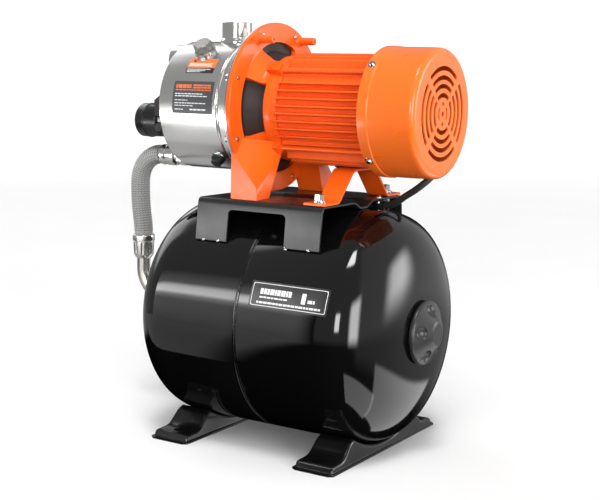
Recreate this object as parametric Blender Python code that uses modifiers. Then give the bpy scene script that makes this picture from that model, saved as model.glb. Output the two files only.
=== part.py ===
"""Shallow well jet pump on a horizontal pressure tank, as an assembly of separate pieces.

Metres, +Z up. X runs along the motor's shaft with the fan at +X and the suction port at -X.
The world origin is under the middle of the whole pump, on the surface that it stands on. Every
piece hangs from one empty at the middle of the tank, so places below are counted from there.
"""

import math

import bmesh
import bpy
from mathutils import Matrix, Vector

# Tank
TANK_RADIUS = 0.140
TANK_Z = 0.1502                # height of the tank's axis
TANK_STRAIGHT = 0.0998         # half length of the cylindrical part
TANK_DOME = 0.07375            # depth of each domed end
TANK_DOME_POWER = 2.88         # superellipse power of the domes
TANK_WALL = 0.0015
TANK_END_X = TANK_STRAIGHT + TANK_DOME

# Motor and pump
SHAFT_Z = 0.4067               # height of the shaft's axis
SHAFT_RADIUS = 0.007
DISC_RADIUS = 0.1034           # large disc of the motor bracket
DISC_X = (-0.042, -0.036)
SCREW_CIRCLE = 0.094           # screws that hold the casing to the disc
CASING_RADIUS = 0.080
CASING_FACE_X = -0.160
CASING_WALL = 0.002
HOUSING_X = (0.0003, 0.118)
HOUSING_ROOT = 0.0585          # between the fins
HOUSING_TIP = 0.0672           # over the fins
HOUSING_BORE = 0.0555
FIN_PITCH = 0.00907
FIN_WIDTH = 0.0022
FAN_COVER_RADIUS = 0.0765
FAN_COVER_X = (0.1184, 0.1890)
VALVE_COVER_END_X = 0.1935

# Platform, hose and controls
PLATFORM_X = (-0.085, 0.090)
PLATFORM_HALF_WIDTH = 0.097
PLATFORM_TOP = 0.300
SHEET = 0.0025
HOSE_RADIUS = 0.01275
HOSE_X = -0.2547               # middle of the hose where it bulges furthest out
HOSE_TOP_Z = 0.3396
HOSE_BOTTOM_Z = 0.2303
GAUGE_Z = 0.384
SUCTION_Z = 0.4625
DISCHARGE_X = -0.099
DISCHARGE_TOP_Z = 0.5105
PRIMING_X = -0.110
PRIMING_TILT = math.radians(37.5)      # from straight up, towards -Y
DRAIN_X = -0.088
DRAIN_TILT = math.radians(140.5)
PORT_BORE = 0.01515

GAP = 0.0003                   # between pieces that touch
ORIGIN_X = -(VALVE_COVER_END_X + HOSE_X - HOSE_RADIUS) / 2
FULL_TURN = 2 * math.pi
ALONG_X = (0, math.pi / 2, 0)                  # local +Z points along +X
ACROSS_X = (math.pi / 2, 0, math.pi / 2)       # local X, Y, Z point along +Y, +Z, +X


# ---------------------------------------------------------------- scene and materials

def clear_scene():
    for old in list(bpy.data.objects):
        bpy.data.objects.remove(old, do_unlink=True)


def new_collection(name):
    collection = bpy.data.collections.new(name)
    bpy.context.scene.collection.children.link(collection)
    return collection


def new_material(name, colour, roughness, metallic=0.0):
    material = bpy.data.materials.new(name)
    material.use_nodes = True
    shader = material.node_tree.nodes["Principled BSDF"]
    shader.inputs["Base Color"].default_value = (*colour, 1.0)
    shader.inputs["Roughness"].default_value = roughness
    shader.inputs["Metallic"].default_value = metallic
    material.diffuse_color = (*colour, 1.0)
    return material


clear_scene()
PARTS = new_collection("shallow_well_jet_pump")
CUTTERS = new_collection("cutters")
TANK_CENTRE = bpy.data.objects.new("tank_centre", None)
TANK_CENTRE.location = (ORIGIN_X, 0, 0)
PARTS.objects.link(TANK_CENTRE)

ORANGE = new_material("orange_paint", (0.86, 0.16, 0.01), 0.42)
GLOSS_BLACK = new_material("gloss_black_enamel", (0.012, 0.012, 0.013), 0.18)
SATIN_BLACK = new_material("satin_black_paint", (0.02, 0.02, 0.02), 0.4)
STAINLESS = new_material("polished_stainless", (0.62, 0.62, 0.61), 0.18, 1.0)
ZINC = new_material("zinc_plate", (0.66, 0.66, 0.64), 0.32, 1.0)
BRASS = new_material("nickel_plated_brass", (0.62, 0.58, 0.48), 0.28, 1.0)
BRAID = new_material("stainless_braid", (0.5, 0.5, 0.49), 0.4, 1.0)
BLACK_PLASTIC = new_material("black_plastic", (0.016, 0.016, 0.017), 0.45)
RUBBER = new_material("black_rubber", (0.02, 0.02, 0.02), 0.7)
DIAL_WHITE = new_material("dial_white", (0.85, 0.85, 0.83), 0.5)
NEEDLE_RED = new_material("needle_red", (0.6, 0.03, 0.02), 0.4)
CLEAR = new_material("clear_lens", (0.9, 0.92, 0.92), 0.05)
LAMINATION = new_material("lamination_steel", (0.3, 0.3, 0.31), 0.5, 1.0)
COPPER = new_material("copper_winding", (0.6, 0.25, 0.1), 0.35, 1.0)
CERAMIC = new_material("seal_ceramic", (0.8, 0.78, 0.72), 0.4)
NYLON = new_material("moulded_nylon", (0.05, 0.05, 0.055), 0.5)
CAST_ALUMINIUM = new_material("cast_aluminium", (0.55, 0.55, 0.56), 0.45, 1.0)


def link(name, data, material, location=(0, 0, 0), rotation=(0, 0, 0)):
    """One named piece, hung from the tank's centre."""
    piece = bpy.data.objects.new(name, data)
    PARTS.objects.link(piece)
    piece.parent = TANK_CENTRE
    piece.location = location
    piece.rotation_euler = rotation
    data.materials.clear()
    data.materials.append(material)
    return piece


def helper(name, data, location=(0, 0, 0), rotation=(0, 0, 0)):
    """A shape that only cuts or joins another piece."""
    tool = bpy.data.objects.new(name, data)
    CUTTERS.objects.link(tool)
    tool.parent = TANK_CENTRE
    tool.location = location
    tool.rotation_euler = rotation
    tool.hide_render = True
    tool.display_type = "WIRE"
    return tool


def boolean(piece, tool, operation):
    modifier = piece.modifiers.new(operation.lower(), "BOOLEAN")
    modifier.operation = operation
    modifier.object = tool
    modifier.solver = "EXACT"
    return modifier


# ---------------------------------------------------------------- shapes

def circle_point(radius, angle, centre=(0.0, 0.0)):
    return (centre[0] + radius * math.cos(angle), centre[1] + radius * math.sin(angle))


def arc(radius, start, end, steps, centre=(0.0, 0.0)):
    """Points on an arc, angles in radians, both ends included."""
    angles = [start + (end - start) * step / steps for step in range(steps + 1)]
    return [circle_point(radius, angle, centre) for angle in angles]


def rounded(points, radius, steps=3, closed=False):
    """The same corners, in 2D or 3D, each one eased by a short curve."""
    corners = [Vector(point) for point in points]
    count = len(corners)
    result = []
    for index, corner in enumerate(corners):
        if not closed and index in (0, count - 1):
            result.append(corner)
            continue
        before = corners[index - 1] - corner
        after = corners[(index + 1) % count] - corner
        reach = min(radius, before.length * 0.49, after.length * 0.49)
        start = corner + before.normalized() * reach
        end = corner + after.normalized() * reach
        for step in range(steps + 1):
            share = step / steps
            first = start.lerp(corner, share)
            second = corner.lerp(end, share)
            result.append(first.lerp(second, share))
    return [tuple(point) for point in result]


def ribbon(path, thickness):
    """Closed outline of a strip of sheet that lies on the left of a 2D path."""
    points = [Vector(point) for point in path]
    far_side = []
    for index, point in enumerate(points):
        before = points[max(index - 1, 0)]
        after = points[min(index + 1, len(points) - 1)]
        into = (point - before).normalized() if index else (after - point).normalized()
        out = (after - point).normalized() if index < len(points) - 1 else into
        middle = (into + out).normalized()
        normal = Vector((-middle.y, middle.x))
        far_side.append(point + normal * thickness / max(middle.dot(into), 0.2))
    return [tuple(point) for point in points + far_side[::-1]]


def turned_mesh(name, profile):
    """Edges of a profile given as (distance along the axis, radius) pairs."""
    area = 0.0
    for index, (along, radius) in enumerate(profile):
        next_along, next_radius = profile[(index + 1) % len(profile)]
        area += radius * next_along - next_radius * along
    ordered = profile if area < 0 else profile[::-1]
    on_axis = [index for index, (along, radius) in enumerate(ordered) if radius == 0]
    if on_axis:
        first = next(index for index in on_axis if ordered[index - 1][1] == 0)
        ordered = ordered[first:] + ordered[:first]
    vertices = [(radius, 0.0, along) for along, radius in ordered]
    edges = [(index, index + 1) for index in range(len(vertices) - 1)]
    if not on_axis:
        edges.append((len(vertices) - 1, 0))
    mesh = bpy.data.meshes.new(name)
    mesh.from_pydata(vertices, edges, [])
    return mesh


def spin(piece, segments):
    """Screw modifier that turns a profile about its local Z axis."""
    screw = piece.modifiers.new("turn", "SCREW")
    screw.steps = segments
    screw.render_steps = segments
    screw.use_merge_vertices = True
    screw.merge_threshold = 0.00001
    return screw


def turned(name, profile, material, segments=32, location=(0, 0, SHAFT_Z), rotation=ALONG_X):
    piece = link(name, turned_mesh(name, profile), material, location, rotation)
    spin(piece, segments)
    return piece


def turned_helper(name, profile, segments=24, location=(0, 0, SHAFT_Z), rotation=ALONG_X):
    tool = helper(name, turned_mesh(name, profile), location, rotation)
    spin(tool, segments)
    return tool


def add_box(solid, low, high):
    centre = (Vector(low) + Vector(high)) / 2
    size = Vector(high) - Vector(low)
    matrix = Matrix.Translation(centre) @ Matrix.Diagonal((*size, 1.0))
    return bmesh.ops.create_cube(solid, size=1.0, matrix=matrix)["verts"]


def add_rod(solid, start, end, radius, segments=16, end_radius=None):
    """A capped cylinder, cone or prism between two points."""
    start = Vector(start)
    end = Vector(end)
    along = end - start
    turn = along.to_track_quat("Z", "Y").to_matrix().to_4x4()
    matrix = Matrix.Translation((start + end) / 2) @ turn
    top = radius if end_radius is None else end_radius
    return bmesh.ops.create_cone(solid, cap_ends=True, segments=segments, radius1=radius,
                                 radius2=top, depth=along.length, matrix=matrix)["verts"]


def solid_mesh(name, fill):
    """Mesh of the solids that fill adds to an empty bmesh."""
    solid = bmesh.new()
    fill(solid)
    mesh = bpy.data.meshes.new(name)
    solid.to_mesh(mesh)
    solid.free()
    return mesh


def joined(name, material, rods, location=(0, 0, 0), rotation=(0, 0, 0)):
    """One piece from rods that run into each other: (start, end, radius, sides[, end radius])."""
    meshes = [solid_mesh(name, lambda solid, rod=rod: add_rod(solid, *rod)) for rod in rods]
    piece = link(name, meshes[0], material, location, rotation)
    for mesh in meshes[1:]:
        boolean(piece, helper(name + "_part", mesh, location, rotation), "UNION")
    return piece


def curve_to_mesh(name, curve):
    """Mesh of a curve object's surface, with its caps welded on."""
    carrier = bpy.data.objects.new(name + "_curve", curve)
    bpy.context.scene.collection.objects.link(carrier)
    graph = bpy.context.evaluated_depsgraph_get()
    mesh = bpy.data.meshes.new_from_object(carrier.evaluated_get(graph))
    bpy.data.objects.remove(carrier, do_unlink=True)
    surface = bmesh.new()
    surface.from_mesh(mesh)
    bmesh.ops.remove_doubles(surface, verts=surface.verts, dist=0.00001)
    surface.to_mesh(mesh)
    surface.free()
    mesh.name = name
    return mesh


def plate_mesh(name, outlines, thickness):
    """Flat plate of one outline, and holes for the others, centred on local Z."""
    curve = bpy.data.curves.new(name, "CURVE")
    curve.dimensions = "2D"
    curve.fill_mode = "BOTH"
    curve.extrude = thickness / 2
    for outline in outlines:
        spline = curve.splines.new("POLY")
        spline.points.add(len(outline) - 1)
        for point, (u, v) in zip(spline.points, outline):
            point.co = (u, v, 0.0, 1.0)
        spline.use_cyclic_u = True
    return curve_to_mesh(name, curve)


def tube_mesh(name, points, radius, resolution=2):
    """Round bar along a route of points."""
    curve = bpy.data.curves.new(name, "CURVE")
    curve.dimensions = "3D"
    curve.bevel_depth = radius
    curve.bevel_resolution = resolution
    curve.use_fill_caps = True
    spline = curve.splines.new("POLY")
    spline.points.add(len(points) - 1)
    for point, place in zip(spline.points, points):
        point.co = (*place, 1.0)
    return curve_to_mesh(name, curve)


def smooth_route(knots, spacing):
    """Points about spacing apart on a smooth curve through the knots."""
    knots = [Vector(knot) for knot in knots]
    padded = [2 * knots[0] - knots[1]] + knots + [2 * knots[-1] - knots[-2]]
    route = []
    for index in range(1, len(padded) - 2):
        before, start, end, after = padded[index - 1:index + 3]
        steps = max(1, round((end - start).length / spacing))
        for step in range(steps):
            t = step / steps
            route.append(0.5 * (2 * start + (end - before) * t
                                + (2 * before - 5 * start + 4 * end - after) * t ** 2
                                + (3 * start - before - 3 * end + after) * t ** 3))
    route.append(knots[-1])
    return route


def polar(radius, angle, along=0.0):
    """Point beside the shaft: angle counted from straight up, towards -Y."""
    return Vector((along, -radius * math.sin(angle), SHAFT_Z + radius * math.cos(angle)))


# ---------------------------------------------------------------- tank

def dome_profile(offset, mouth, steps=5):
    """Dome from the cylinder's end to the mouth radius, offset inwards by a wall."""
    radius = TANK_RADIUS - offset
    depth = TANK_DOME - offset
    power = 2 / TANK_DOME_POWER
    last = math.acos((mouth / radius) ** (1 / power))
    points = []
    for step in range(steps + 1):
        t = last * step / steps
        points.append((TANK_STRAIGHT + depth * math.sin(t) ** power,
                       radius * math.cos(t) ** power))
    return points


def tank_shell(name, mouth, direction):
    """Half of the tank: a deep drawn cup with a flat boss round its mouth."""
    boss = mouth + 0.019
    outer = dome_profile(0.0, boss)
    inner = dome_profile(TANK_WALL, boss - 0.001)
    seam = GAP / 2
    profile = [(seam, TANK_RADIUS - TANK_WALL), (seam, TANK_RADIUS), *outer,
               (TANK_END_X, boss), (TANK_END_X, mouth),
               (inner[-1][0], mouth), *inner[::-1]]
    profile = [(direction * along, radius) for along, radius in profile]
    return turned(name, profile, GLOSS_BLACK, 32, (0, 0, TANK_Z))


def make_tank():
    tank_shell("tank_shell_pump_end", 0.040, -1)
    tank_shell("tank_shell_motor_end", 0.012, 1)

    bladder_outer = [(-0.166, 0.037), (-0.150, 0.045), (-0.130, 0.090), (-0.095, 0.122),
                     (0.060, 0.124), (0.100, 0.110), (0.125, 0.060), (0.130, 0.0)]
    bladder_inner = [(along - 0.003 * (along > 0), max(radius - 0.002, 0.0))
                     for along, radius in bladder_outer]
    turned("tank_bladder", bladder_outer + bladder_inner[::-1], RUBBER, 16, (0, 0, TANK_Z))

    flange_near = -TANK_END_X - GAP
    turned("tank_flange", [(flange_near, 0.0095), (flange_near, 0.058),
                           (flange_near - 0.004, 0.058), (flange_near - 0.004, 0.017),
                           (flange_near - 0.012, 0.017), (flange_near - 0.012, 0.0095)],
           ZINC, 24, (0, 0, TANK_Z))

    turned("air_valve", [(0.158, 0.0), (0.158, 0.0115), (0.1705, 0.0115), (0.1705, 0.004),
                         (0.1785, 0.004), (0.1785, 0.0)], BRASS, 16, (0, 0, TANK_Z))

    cap_end = VALVE_COVER_END_X
    cap = turned("valve_cover",
                 [(0.1738, 0.0372), (0.1760, 0.0388), (0.1781, 0.0388), (0.1797, 0.0378),
                  (cap_end, 0.0155), (cap_end, 0.0), (cap_end - 0.0050, 0.0),
                  (cap_end - 0.0050, 0.0120), (0.1765, 0.0335), (0.1738, 0.0350)],
                 BLACK_PLASTIC, 30, (0, 0, TANK_Z))

    def dimples(solid):
        for index in range(5):
            turn = math.radians(7) + index * FULL_TURN / 5
            place = (0.1918, -0.0317 * math.sin(turn), TANK_Z + 0.0317 * math.cos(turn))
            bmesh.ops.create_icosphere(solid, subdivisions=2, radius=0.0113,
                                       matrix=Matrix.Translation(place))

    boolean(cap, helper("valve_cover_dimples", solid_mesh("dimples", dimples)), "DIFFERENCE")


# ---------------------------------------------------------------- feet and platform

FOOT_NEAR_X = 0.0754
FOOT_WIDTH = 0.0557
FOOT_HALF_LENGTH = 0.1317
HORN_Y = 0.074


def foot_outline():
    """Side view of a saddle: lip, low pad, S-shaped rise, and the tank's own curve."""
    saddle = TANK_RADIUS + GAP
    horn_angle = math.asin(HORN_Y / saddle)
    down = -math.pi / 2
    rise = rounded([(-0.1255, 0.0022), (-0.1235, 0.0100), (-0.0995, 0.0105),
                    (-0.0830, 0.0265), (-HORN_Y - 0.002, 0.0302)], 0.008)
    curve = arc(saddle, down - horn_angle, down + horn_angle, 16, (0, TANK_Z))
    mirrored = [(-y, z) for y, z in rise[::-1]]
    return [(-0.1255, 0.0015), *rise, *curve, *mirrored, (0.1255, 0.0015)]


def make_foot(name, middle_x):
    lip = plate_mesh(name, [rounded([(-FOOT_HALF_LENGTH, -FOOT_WIDTH / 2),
                                     (FOOT_HALF_LENGTH, -FOOT_WIDTH / 2),
                                     (FOOT_HALF_LENGTH, FOOT_WIDTH / 2),
                                     (-FOOT_HALF_LENGTH, FOOT_WIDTH / 2)],
                                    0.006, closed=True)], 0.0022)
    foot = link(name, lip, SATIN_BLACK, (middle_x, 0, 0.0011), (0, 0, math.pi / 2))
    pressing = plate_mesh(name + "_pressing", [foot_outline()], FOOT_WIDTH - 0.005)
    top = max(vertex.co.y for vertex in pressing.vertices)
    for vertex in pressing.vertices:
        vertex.co.z *= 1 - 0.10 * vertex.co.y / top
    boolean(foot, helper(name + "_pressing", pressing, (middle_x, 0, 0), ACROSS_X), "UNION")

    def hollow(solid):
        half = FOOT_WIDTH / 2 - 0.006
        add_box(solid, (middle_x - half, -0.070, -0.001), (middle_x + half, 0.070, 0.0075))
        for side in (-1, 1):
            add_rod(solid, (middle_x, side * 0.112, -0.01), (middle_x, side * 0.112, 0.02),
                    0.0045, 12)

    boolean(foot, helper(name + "_hollow", solid_mesh("hollow", hollow)), "DIFFERENCE")


def make_platform():
    """Sheet with a V-shaped channel along X and a skirt bent down on each side."""
    under = PLATFORM_TOP - SHEET
    half = [(0.0085, PLATFORM_TOP - 0.0070 - SHEET), (0.0215, under),
            (PLATFORM_HALF_WIDTH - SHEET, under), (0.0997, 0.2490)]
    path = [(-y, z) for y, z in half[::-1]] + half
    path = rounded(path, 0.006, 3)
    outline = ribbon(path, SHEET)
    length = PLATFORM_X[1] - PLATFORM_X[0]
    middle = sum(PLATFORM_X) / 2
    platform = link("platform", plate_mesh("platform", [outline], length), SATIN_BLACK,
                    (middle, 0, 0), ACROSS_X)

    window = rounded([(-0.0395, 0.2875), (0.0413, 0.2875), (0.0413, 0.2300),
                      (-0.0395, 0.2300)], 0.004, closed=True)
    cut = plate_mesh("skirt_window", [window], 0.25)
    boolean(platform, helper("skirt_window", cut, (0, 0, 0), (math.pi / 2, 0, 0)), "DIFFERENCE")

    def holes(solid):
        for y in (-1, 1):
            for x, reach in ((BRACKET_BOLT_X, BRACKET_BOLT_Y), (FOOT_BOLT_X, FOOT_BOLT_Y)):
                add_rod(solid, (x, y * reach, 0.29), (x, y * reach, 0.31), 0.0034, 12)
        add_rod(solid, (CLIP_X, CLIP_SCREW_Y, 0.29), (CLIP_X, CLIP_SCREW_Y, 0.31), 0.0025, 12)

    boolean(platform, helper("platform_holes", solid_mesh("holes", holes)), "DIFFERENCE")


# ---------------------------------------------------------------- motor

BRACKET_BOLT_X = -0.022
BRACKET_BOLT_Y = 0.076
FOOT_BOLT_X = 0.0755
FOOT_BOLT_Y = 0.080
CLIP_X = 0.084
CLIP_SCREW_Y = 0.0465
POST_ANGLE = math.radians(29.3)
CORNERS = [(index + 0.5) * FULL_TURN / 4 for index in range(4)]
SIDES = (("front", -1), ("back", 1))


def bracket_leg_mesh(side):
    """Leg from the disc and the hub down to the platform, as a hull of its own corners."""
    floor = PLATFORM_TOP + GAP
    corners = [(-0.042, 0.090, floor), (-0.042, 0.062, floor),
               (-0.006, 0.090, floor), (-0.006, 0.062, floor),
               (-0.006, 0.090, 0.315), (-0.006, 0.064, 0.317),
               (-0.042, 0.090, 0.3555), (-0.036, 0.090, 0.350),
               (-0.042, 0.038, 0.351), (-0.003, 0.040, 0.355),
               (-0.010, 0.050, 0.368), (-0.036, 0.075, 0.372)]

    def hull(solid):
        for x, y, z in corners:
            solid.verts.new((x, side * y, z))
        made = bmesh.ops.convex_hull(solid, input=solid.verts)
        bmesh.ops.delete(solid, geom=made["geom_interior"], context="VERTS")
        bmesh.ops.recalc_face_normals(solid, faces=solid.faces)

    return solid_mesh("bracket_leg", hull)


def window_mesh():
    """Four openings through the bracket's cone, one on each side, 55 degrees wide."""
    width = math.radians(55)

    def sectors(solid):
        for index in range(4):
            middle = index * FULL_TURN / 4
            ring = []
            for x in (-0.045, -0.0195):
                rows = []
                for radius in (0.050, 0.0745):
                    rows.append([solid.verts.new(polar(radius, middle - width / 2
                                                       + width * step / 6, x))
                                 for step in range(7)])
                ring.append(rows[0] + rows[1][::-1])
            count = len(ring[0])
            solid.faces.new(ring[0][::-1])
            solid.faces.new(ring[1])
            for place in range(count):
                after = (place + 1) % count
                solid.faces.new((ring[0][place], ring[0][after],
                                 ring[1][after], ring[1][place]))
        bmesh.ops.recalc_face_normals(solid, faces=solid.faces)

    return solid_mesh("bracket_windows", sectors)


def make_bracket():
    """Disc, cone and hub as one casting with posts, legs, windows and a bearing seat."""
    profile = [(DISC_X[0], 0.070), (DISC_X[0], DISC_RADIUS - 0.0015),
               (DISC_X[0] + 0.0015, DISC_RADIUS), (DISC_X[1] - 0.002, DISC_RADIUS),
               (DISC_X[1], DISC_RADIUS - 0.002), (DISC_X[1], 0.0775),
               (-0.0215, 0.0640), (-0.0100, 0.0640), (0.0, 0.0605),
               (0.0, 0.0235), (-0.0025, 0.0235), (-0.0025, 0.0178),
               (-0.0180, 0.0178), (-0.0180, 0.0235), (-0.0085, 0.0260), (-0.0085, 0.0560),
               (-0.0210, 0.0570), (DISC_X[1], 0.0700)]
    bracket = turned("motor_bracket", profile, ORANGE, 32)

    def additions(solid):
        for side in (-1, 1):
            post = polar(SCREW_CIRCLE, side * POST_ANGLE)
            add_rod(solid, (-0.040, post.y, post.z), (-0.013, post.y, post.z), 0.0049, 12)

    boolean(bracket, helper("bracket_posts", solid_mesh("posts", additions)), "UNION")
    boolean(bracket, helper("bracket_windows", window_mesh()), "DIFFERENCE")

    def pads(solid):
        for angle in CORNERS:
            add_rod(solid, polar(TIE_ROD_CIRCLE, angle, -0.020),
                    polar(TIE_ROD_CIRCLE, angle, -0.0005), 0.0060, 8)

    boolean(bracket, helper("bracket_pads", solid_mesh("pads", pads)), "UNION")
    for side in (-1, 1):
        boolean(bracket, helper("bracket_leg", bracket_leg_mesh(side)), "UNION")

    def holes(solid):
        for angle in CORNERS:
            add_rod(solid, polar(TIE_ROD_CIRCLE, angle, -0.012),
                    polar(TIE_ROD_CIRCLE, angle, 0.005), TIE_ROD_RADIUS + GAP, 12)
        for side in (-1, 1):
            y = side * BRACKET_BOLT_Y
            add_rod(solid, (BRACKET_BOLT_X, y, 0.29), (BRACKET_BOLT_X, y, 0.3125), 0.0033, 12)

    boolean(bracket, helper("bracket_holes", solid_mesh("holes", holes)), "DIFFERENCE")

    under = PLATFORM_TOP - SHEET - GAP
    for name, side in SIDES:
        y = side * BRACKET_BOLT_Y
        joined("bracket_foot_bolt_" + name, ZINC, [
            ((BRACKET_BOLT_X, y, under - 0.005), (BRACKET_BOLT_X, y, under), 0.0068, 6),
            ((BRACKET_BOLT_X, y, under - 0.002), (BRACKET_BOLT_X, y, 0.311), 0.0030, 12)])


TIE_ROD_CIRCLE = 0.0650
TIE_ROD_RADIUS = 0.0028


def housing_outline():
    """Cross-section of the finned tube: eight parallel fins on each side, four corner bosses."""
    fins = [(index - 3.5) * FIN_PITCH for index in range(8)]
    side_points = []
    for offset in fins:
        for edge, radius in ((-1, HOUSING_ROOT), (-1, HOUSING_TIP), (1, HOUSING_TIP),
                             (1, HOUSING_ROOT)):
            across = offset + edge * FIN_WIDTH / 2
            side_points.append((math.sqrt(radius ** 2 - across ** 2), across))
    corner = []
    for angle, radius in ((40, HOUSING_ROOT), (41, 0.0625), (43, 0.0612), (47, 0.0612),
                          (49, 0.0625), (50, HOUSING_ROOT)):
        corner.append(circle_point(radius, math.radians(angle)))
    outline = []
    for index in range(4):
        turn = Matrix.Rotation(index * FULL_TURN / 4, 2)
        outline += [tuple(turn @ Vector(point)) for point in side_points + corner]
    return outline


def make_motor():
    middle = sum(HOUSING_X) / 2
    length = HOUSING_X[1] - HOUSING_X[0]
    bore = arc(HOUSING_BORE, 0, FULL_TURN * 31 / 32, 31)
    link("motor_housing", plate_mesh("motor_housing", [housing_outline(), bore], length),
         ORANGE, (middle, 0, SHAFT_Z), ACROSS_X)

    core = turned("stator_core", [(0.018, 0.0345), (0.018, 0.0552), (0.092, 0.0552),
                                  (0.092, 0.0345)], LAMINATION, 24)
    coil = [(0.0, 0.040), (0.0, 0.052), (0.012, 0.053), (0.014, 0.046), (0.012, 0.038)]
    windings = turned("stator_windings",
                      [(0.0177 - along, radius) for along, radius in coil], COPPER, 20)
    far = turned_helper("far_winding", [(0.0923 + along, radius) for along, radius in coil], 20)
    boolean(windings, far, "UNION")

    def slot_bars(radius, reach):
        def bars(solid):
            for index in range(6):
                angle = index * FULL_TURN / 6
                add_rod(solid, polar(0.0450, angle, 0.055 - reach),
                        polar(0.0450, angle, 0.055 + reach), radius, 6)
        return solid_mesh("slot_bars", bars)

    boolean(windings, helper("winding_bars", slot_bars(0.0025, 0.042)), "UNION")
    boolean(core, helper("core_slots", slot_bars(0.0029, 0.050)), "DIFFERENCE")

    turned("rotor_core", [(0.018, SHAFT_RADIUS + GAP), (0.018, 0.0335), (0.092, 0.0335),
                          (0.092, SHAFT_RADIUS + GAP)], LAMINATION, 32)
    turned("shaft", [(-0.0690, 0.0), (-0.0690, 0.0045), (-0.0625, 0.0045),
                     (-0.0625, SHAFT_RADIUS), (0.158, SHAFT_RADIUS), (0.158, 0.0)],
           STAINLESS, 20)
    for name, start in (("front_bearing", -0.0140), ("rear_bearing", 0.1090)):
        turned(name, [(start, SHAFT_RADIUS + GAP), (start, 0.0175), (start + 0.011, 0.0175),
                      (start + 0.011, SHAFT_RADIUS + GAP)], STAINLESS, 24)

    shield = turned("rear_shield",
                    [(0.1183, 0.0235), (0.1183, 0.0660), (0.1225, 0.0660), (0.1225, 0.0120),
                     (0.1203, 0.0120), (0.1203, 0.0178), (0.1085, 0.0178), (0.1085, 0.0235)],
                    CAST_ALUMINIUM, 24)

    def lugs(solid):
        for angle in CORNERS:
            add_rod(solid, polar(0.062, angle, 0.1235), polar(0.0712, angle, 0.1235),
                    0.0042, 8)

    boolean(shield, helper("shield_lugs", solid_mesh("lugs", lugs)), "UNION")
    for number, angle in enumerate(CORNERS, 1):
        joined(f"tie_rod_{number}", ORANGE, [
            (polar(TIE_ROD_CIRCLE, angle, -0.0115), polar(TIE_ROD_CIRCLE, angle, 0.1175),
             TIE_ROD_RADIUS, 10)])
    make_fan()
    make_fan_cover()
    make_motor_foot()


def make_fan():
    fan = turned("fan", [(0.1330, SHAFT_RADIUS + GAP), (0.1330, 0.0130), (0.1520, 0.0130),
                         (0.1520, SHAFT_RADIUS + GAP)], NYLON, 20)

    def blades(solid):
        for index in range(6):
            blade = add_box(solid, (0.1350, -0.0011, 0.0105), (0.1510, 0.0011, 0.0600))
            turn = Matrix.Rotation(index * FULL_TURN / 6, 3, "X")
            bmesh.ops.rotate(solid, verts=blade, cent=(0, 0, 0), matrix=turn)
        bmesh.ops.translate(solid, verts=solid.verts, vec=(0, 0, SHAFT_Z))

    boolean(fan, helper("fan_blades", solid_mesh("blades", blades)), "UNION")


SLOT_RADII = (0.0545, 0.0440, 0.0343, 0.0240)
SLOT_WIDTH = 0.0053
SLOT_HALF_ANGLE = math.radians(40)


def sector_outline(inner, outer, middle, half_angle, steps):
    return (arc(inner, middle - half_angle, middle + half_angle, steps)
            + arc(outer, middle + half_angle, middle - half_angle, steps))


def make_fan_cover():
    start, end = FAN_COVER_X
    radius = FAN_COVER_RADIUS
    wall = 0.0018
    outer = [(start, radius), (0.1305, radius), (0.1315, radius - 0.0008),
             (0.1825, radius - 0.0008), (0.1870, radius - 0.0028), (end, radius - 0.0070),
             (end, 0.0)]
    inner = [(end - wall, 0.0), (end - wall, radius - 0.0078), (0.1860, radius - 0.0045),
             (0.1818, radius - 0.0026), (start, radius - 0.0022)]
    cover = turned("fan_cover", outer + inner, ORANGE, 32)

    slots = []
    for index in range(4):
        middle = index * FULL_TURN / 4
        for slot_radius in SLOT_RADII:
            slots.append(sector_outline(slot_radius - SLOT_WIDTH, slot_radius, middle,
                                        SLOT_HALF_ANGLE, 5))
        if index % 2:
            slots.append(arc(0.0024, 0, FULL_TURN * 7 / 8, 7, circle_point(0.0115, middle)))
        else:
            slots.append(sector_outline(0.0090, 0.0125, middle, math.radians(38), 3))
    slots.append(arc(0.0030, 0, FULL_TURN * 7 / 8, 7))
    cut = plate_mesh("fan_cover_slots", slots, 0.02)
    boolean(cover, helper("fan_cover_slots", cut, (end, 0, SHAFT_Z), ACROSS_X), "DIFFERENCE")


def make_motor_foot():
    """Bent strap: flat under the housing, legs splayed out, a pad at each toe."""
    floor = PLATFORM_TOP + GAP
    top = SHAFT_Z - HOUSING_TIP - GAP - 0.003
    half = [(0.0255, top), (0.0590, floor), (0.0935, floor)]
    path = [(-y, z) for y, z in half[::-1]] + half
    outline = ribbon(rounded(path, 0.004, 2), 0.003)
    foot = link("motor_foot", plate_mesh("motor_foot", [outline], 0.028), ORANGE,
                (0.076, 0, 0), ACROSS_X)

    def holes(solid):
        for side in (-1, 1):
            y = side * FOOT_BOLT_Y
            add_rod(solid, (FOOT_BOLT_X, y, 0.29), (FOOT_BOLT_X, y, 0.31), 0.0034, 12)

    boolean(foot, helper("foot_holes", solid_mesh("holes", holes)), "DIFFERENCE")

    low = floor + 0.003 + GAP
    under = PLATFORM_TOP - SHEET - GAP
    for name, side in SIDES:
        y = side * FOOT_BOLT_Y
        joined("motor_foot_bolt_" + name, ZINC, [
            ((FOOT_BOLT_X, y, low), (FOOT_BOLT_X, y, low + 0.0015), 0.0083, 16),
            ((FOOT_BOLT_X, y, low + 0.001), (FOOT_BOLT_X, y, low + 0.0095), 0.0058, 6),
            ((FOOT_BOLT_X, y, under - 0.004), (FOOT_BOLT_X, y, low + 0.002), 0.0030, 12),
            ((FOOT_BOLT_X, y, under - 0.005), (FOOT_BOLT_X, y, under), 0.0058, 6)])


# ---------------------------------------------------------------- pump

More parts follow.
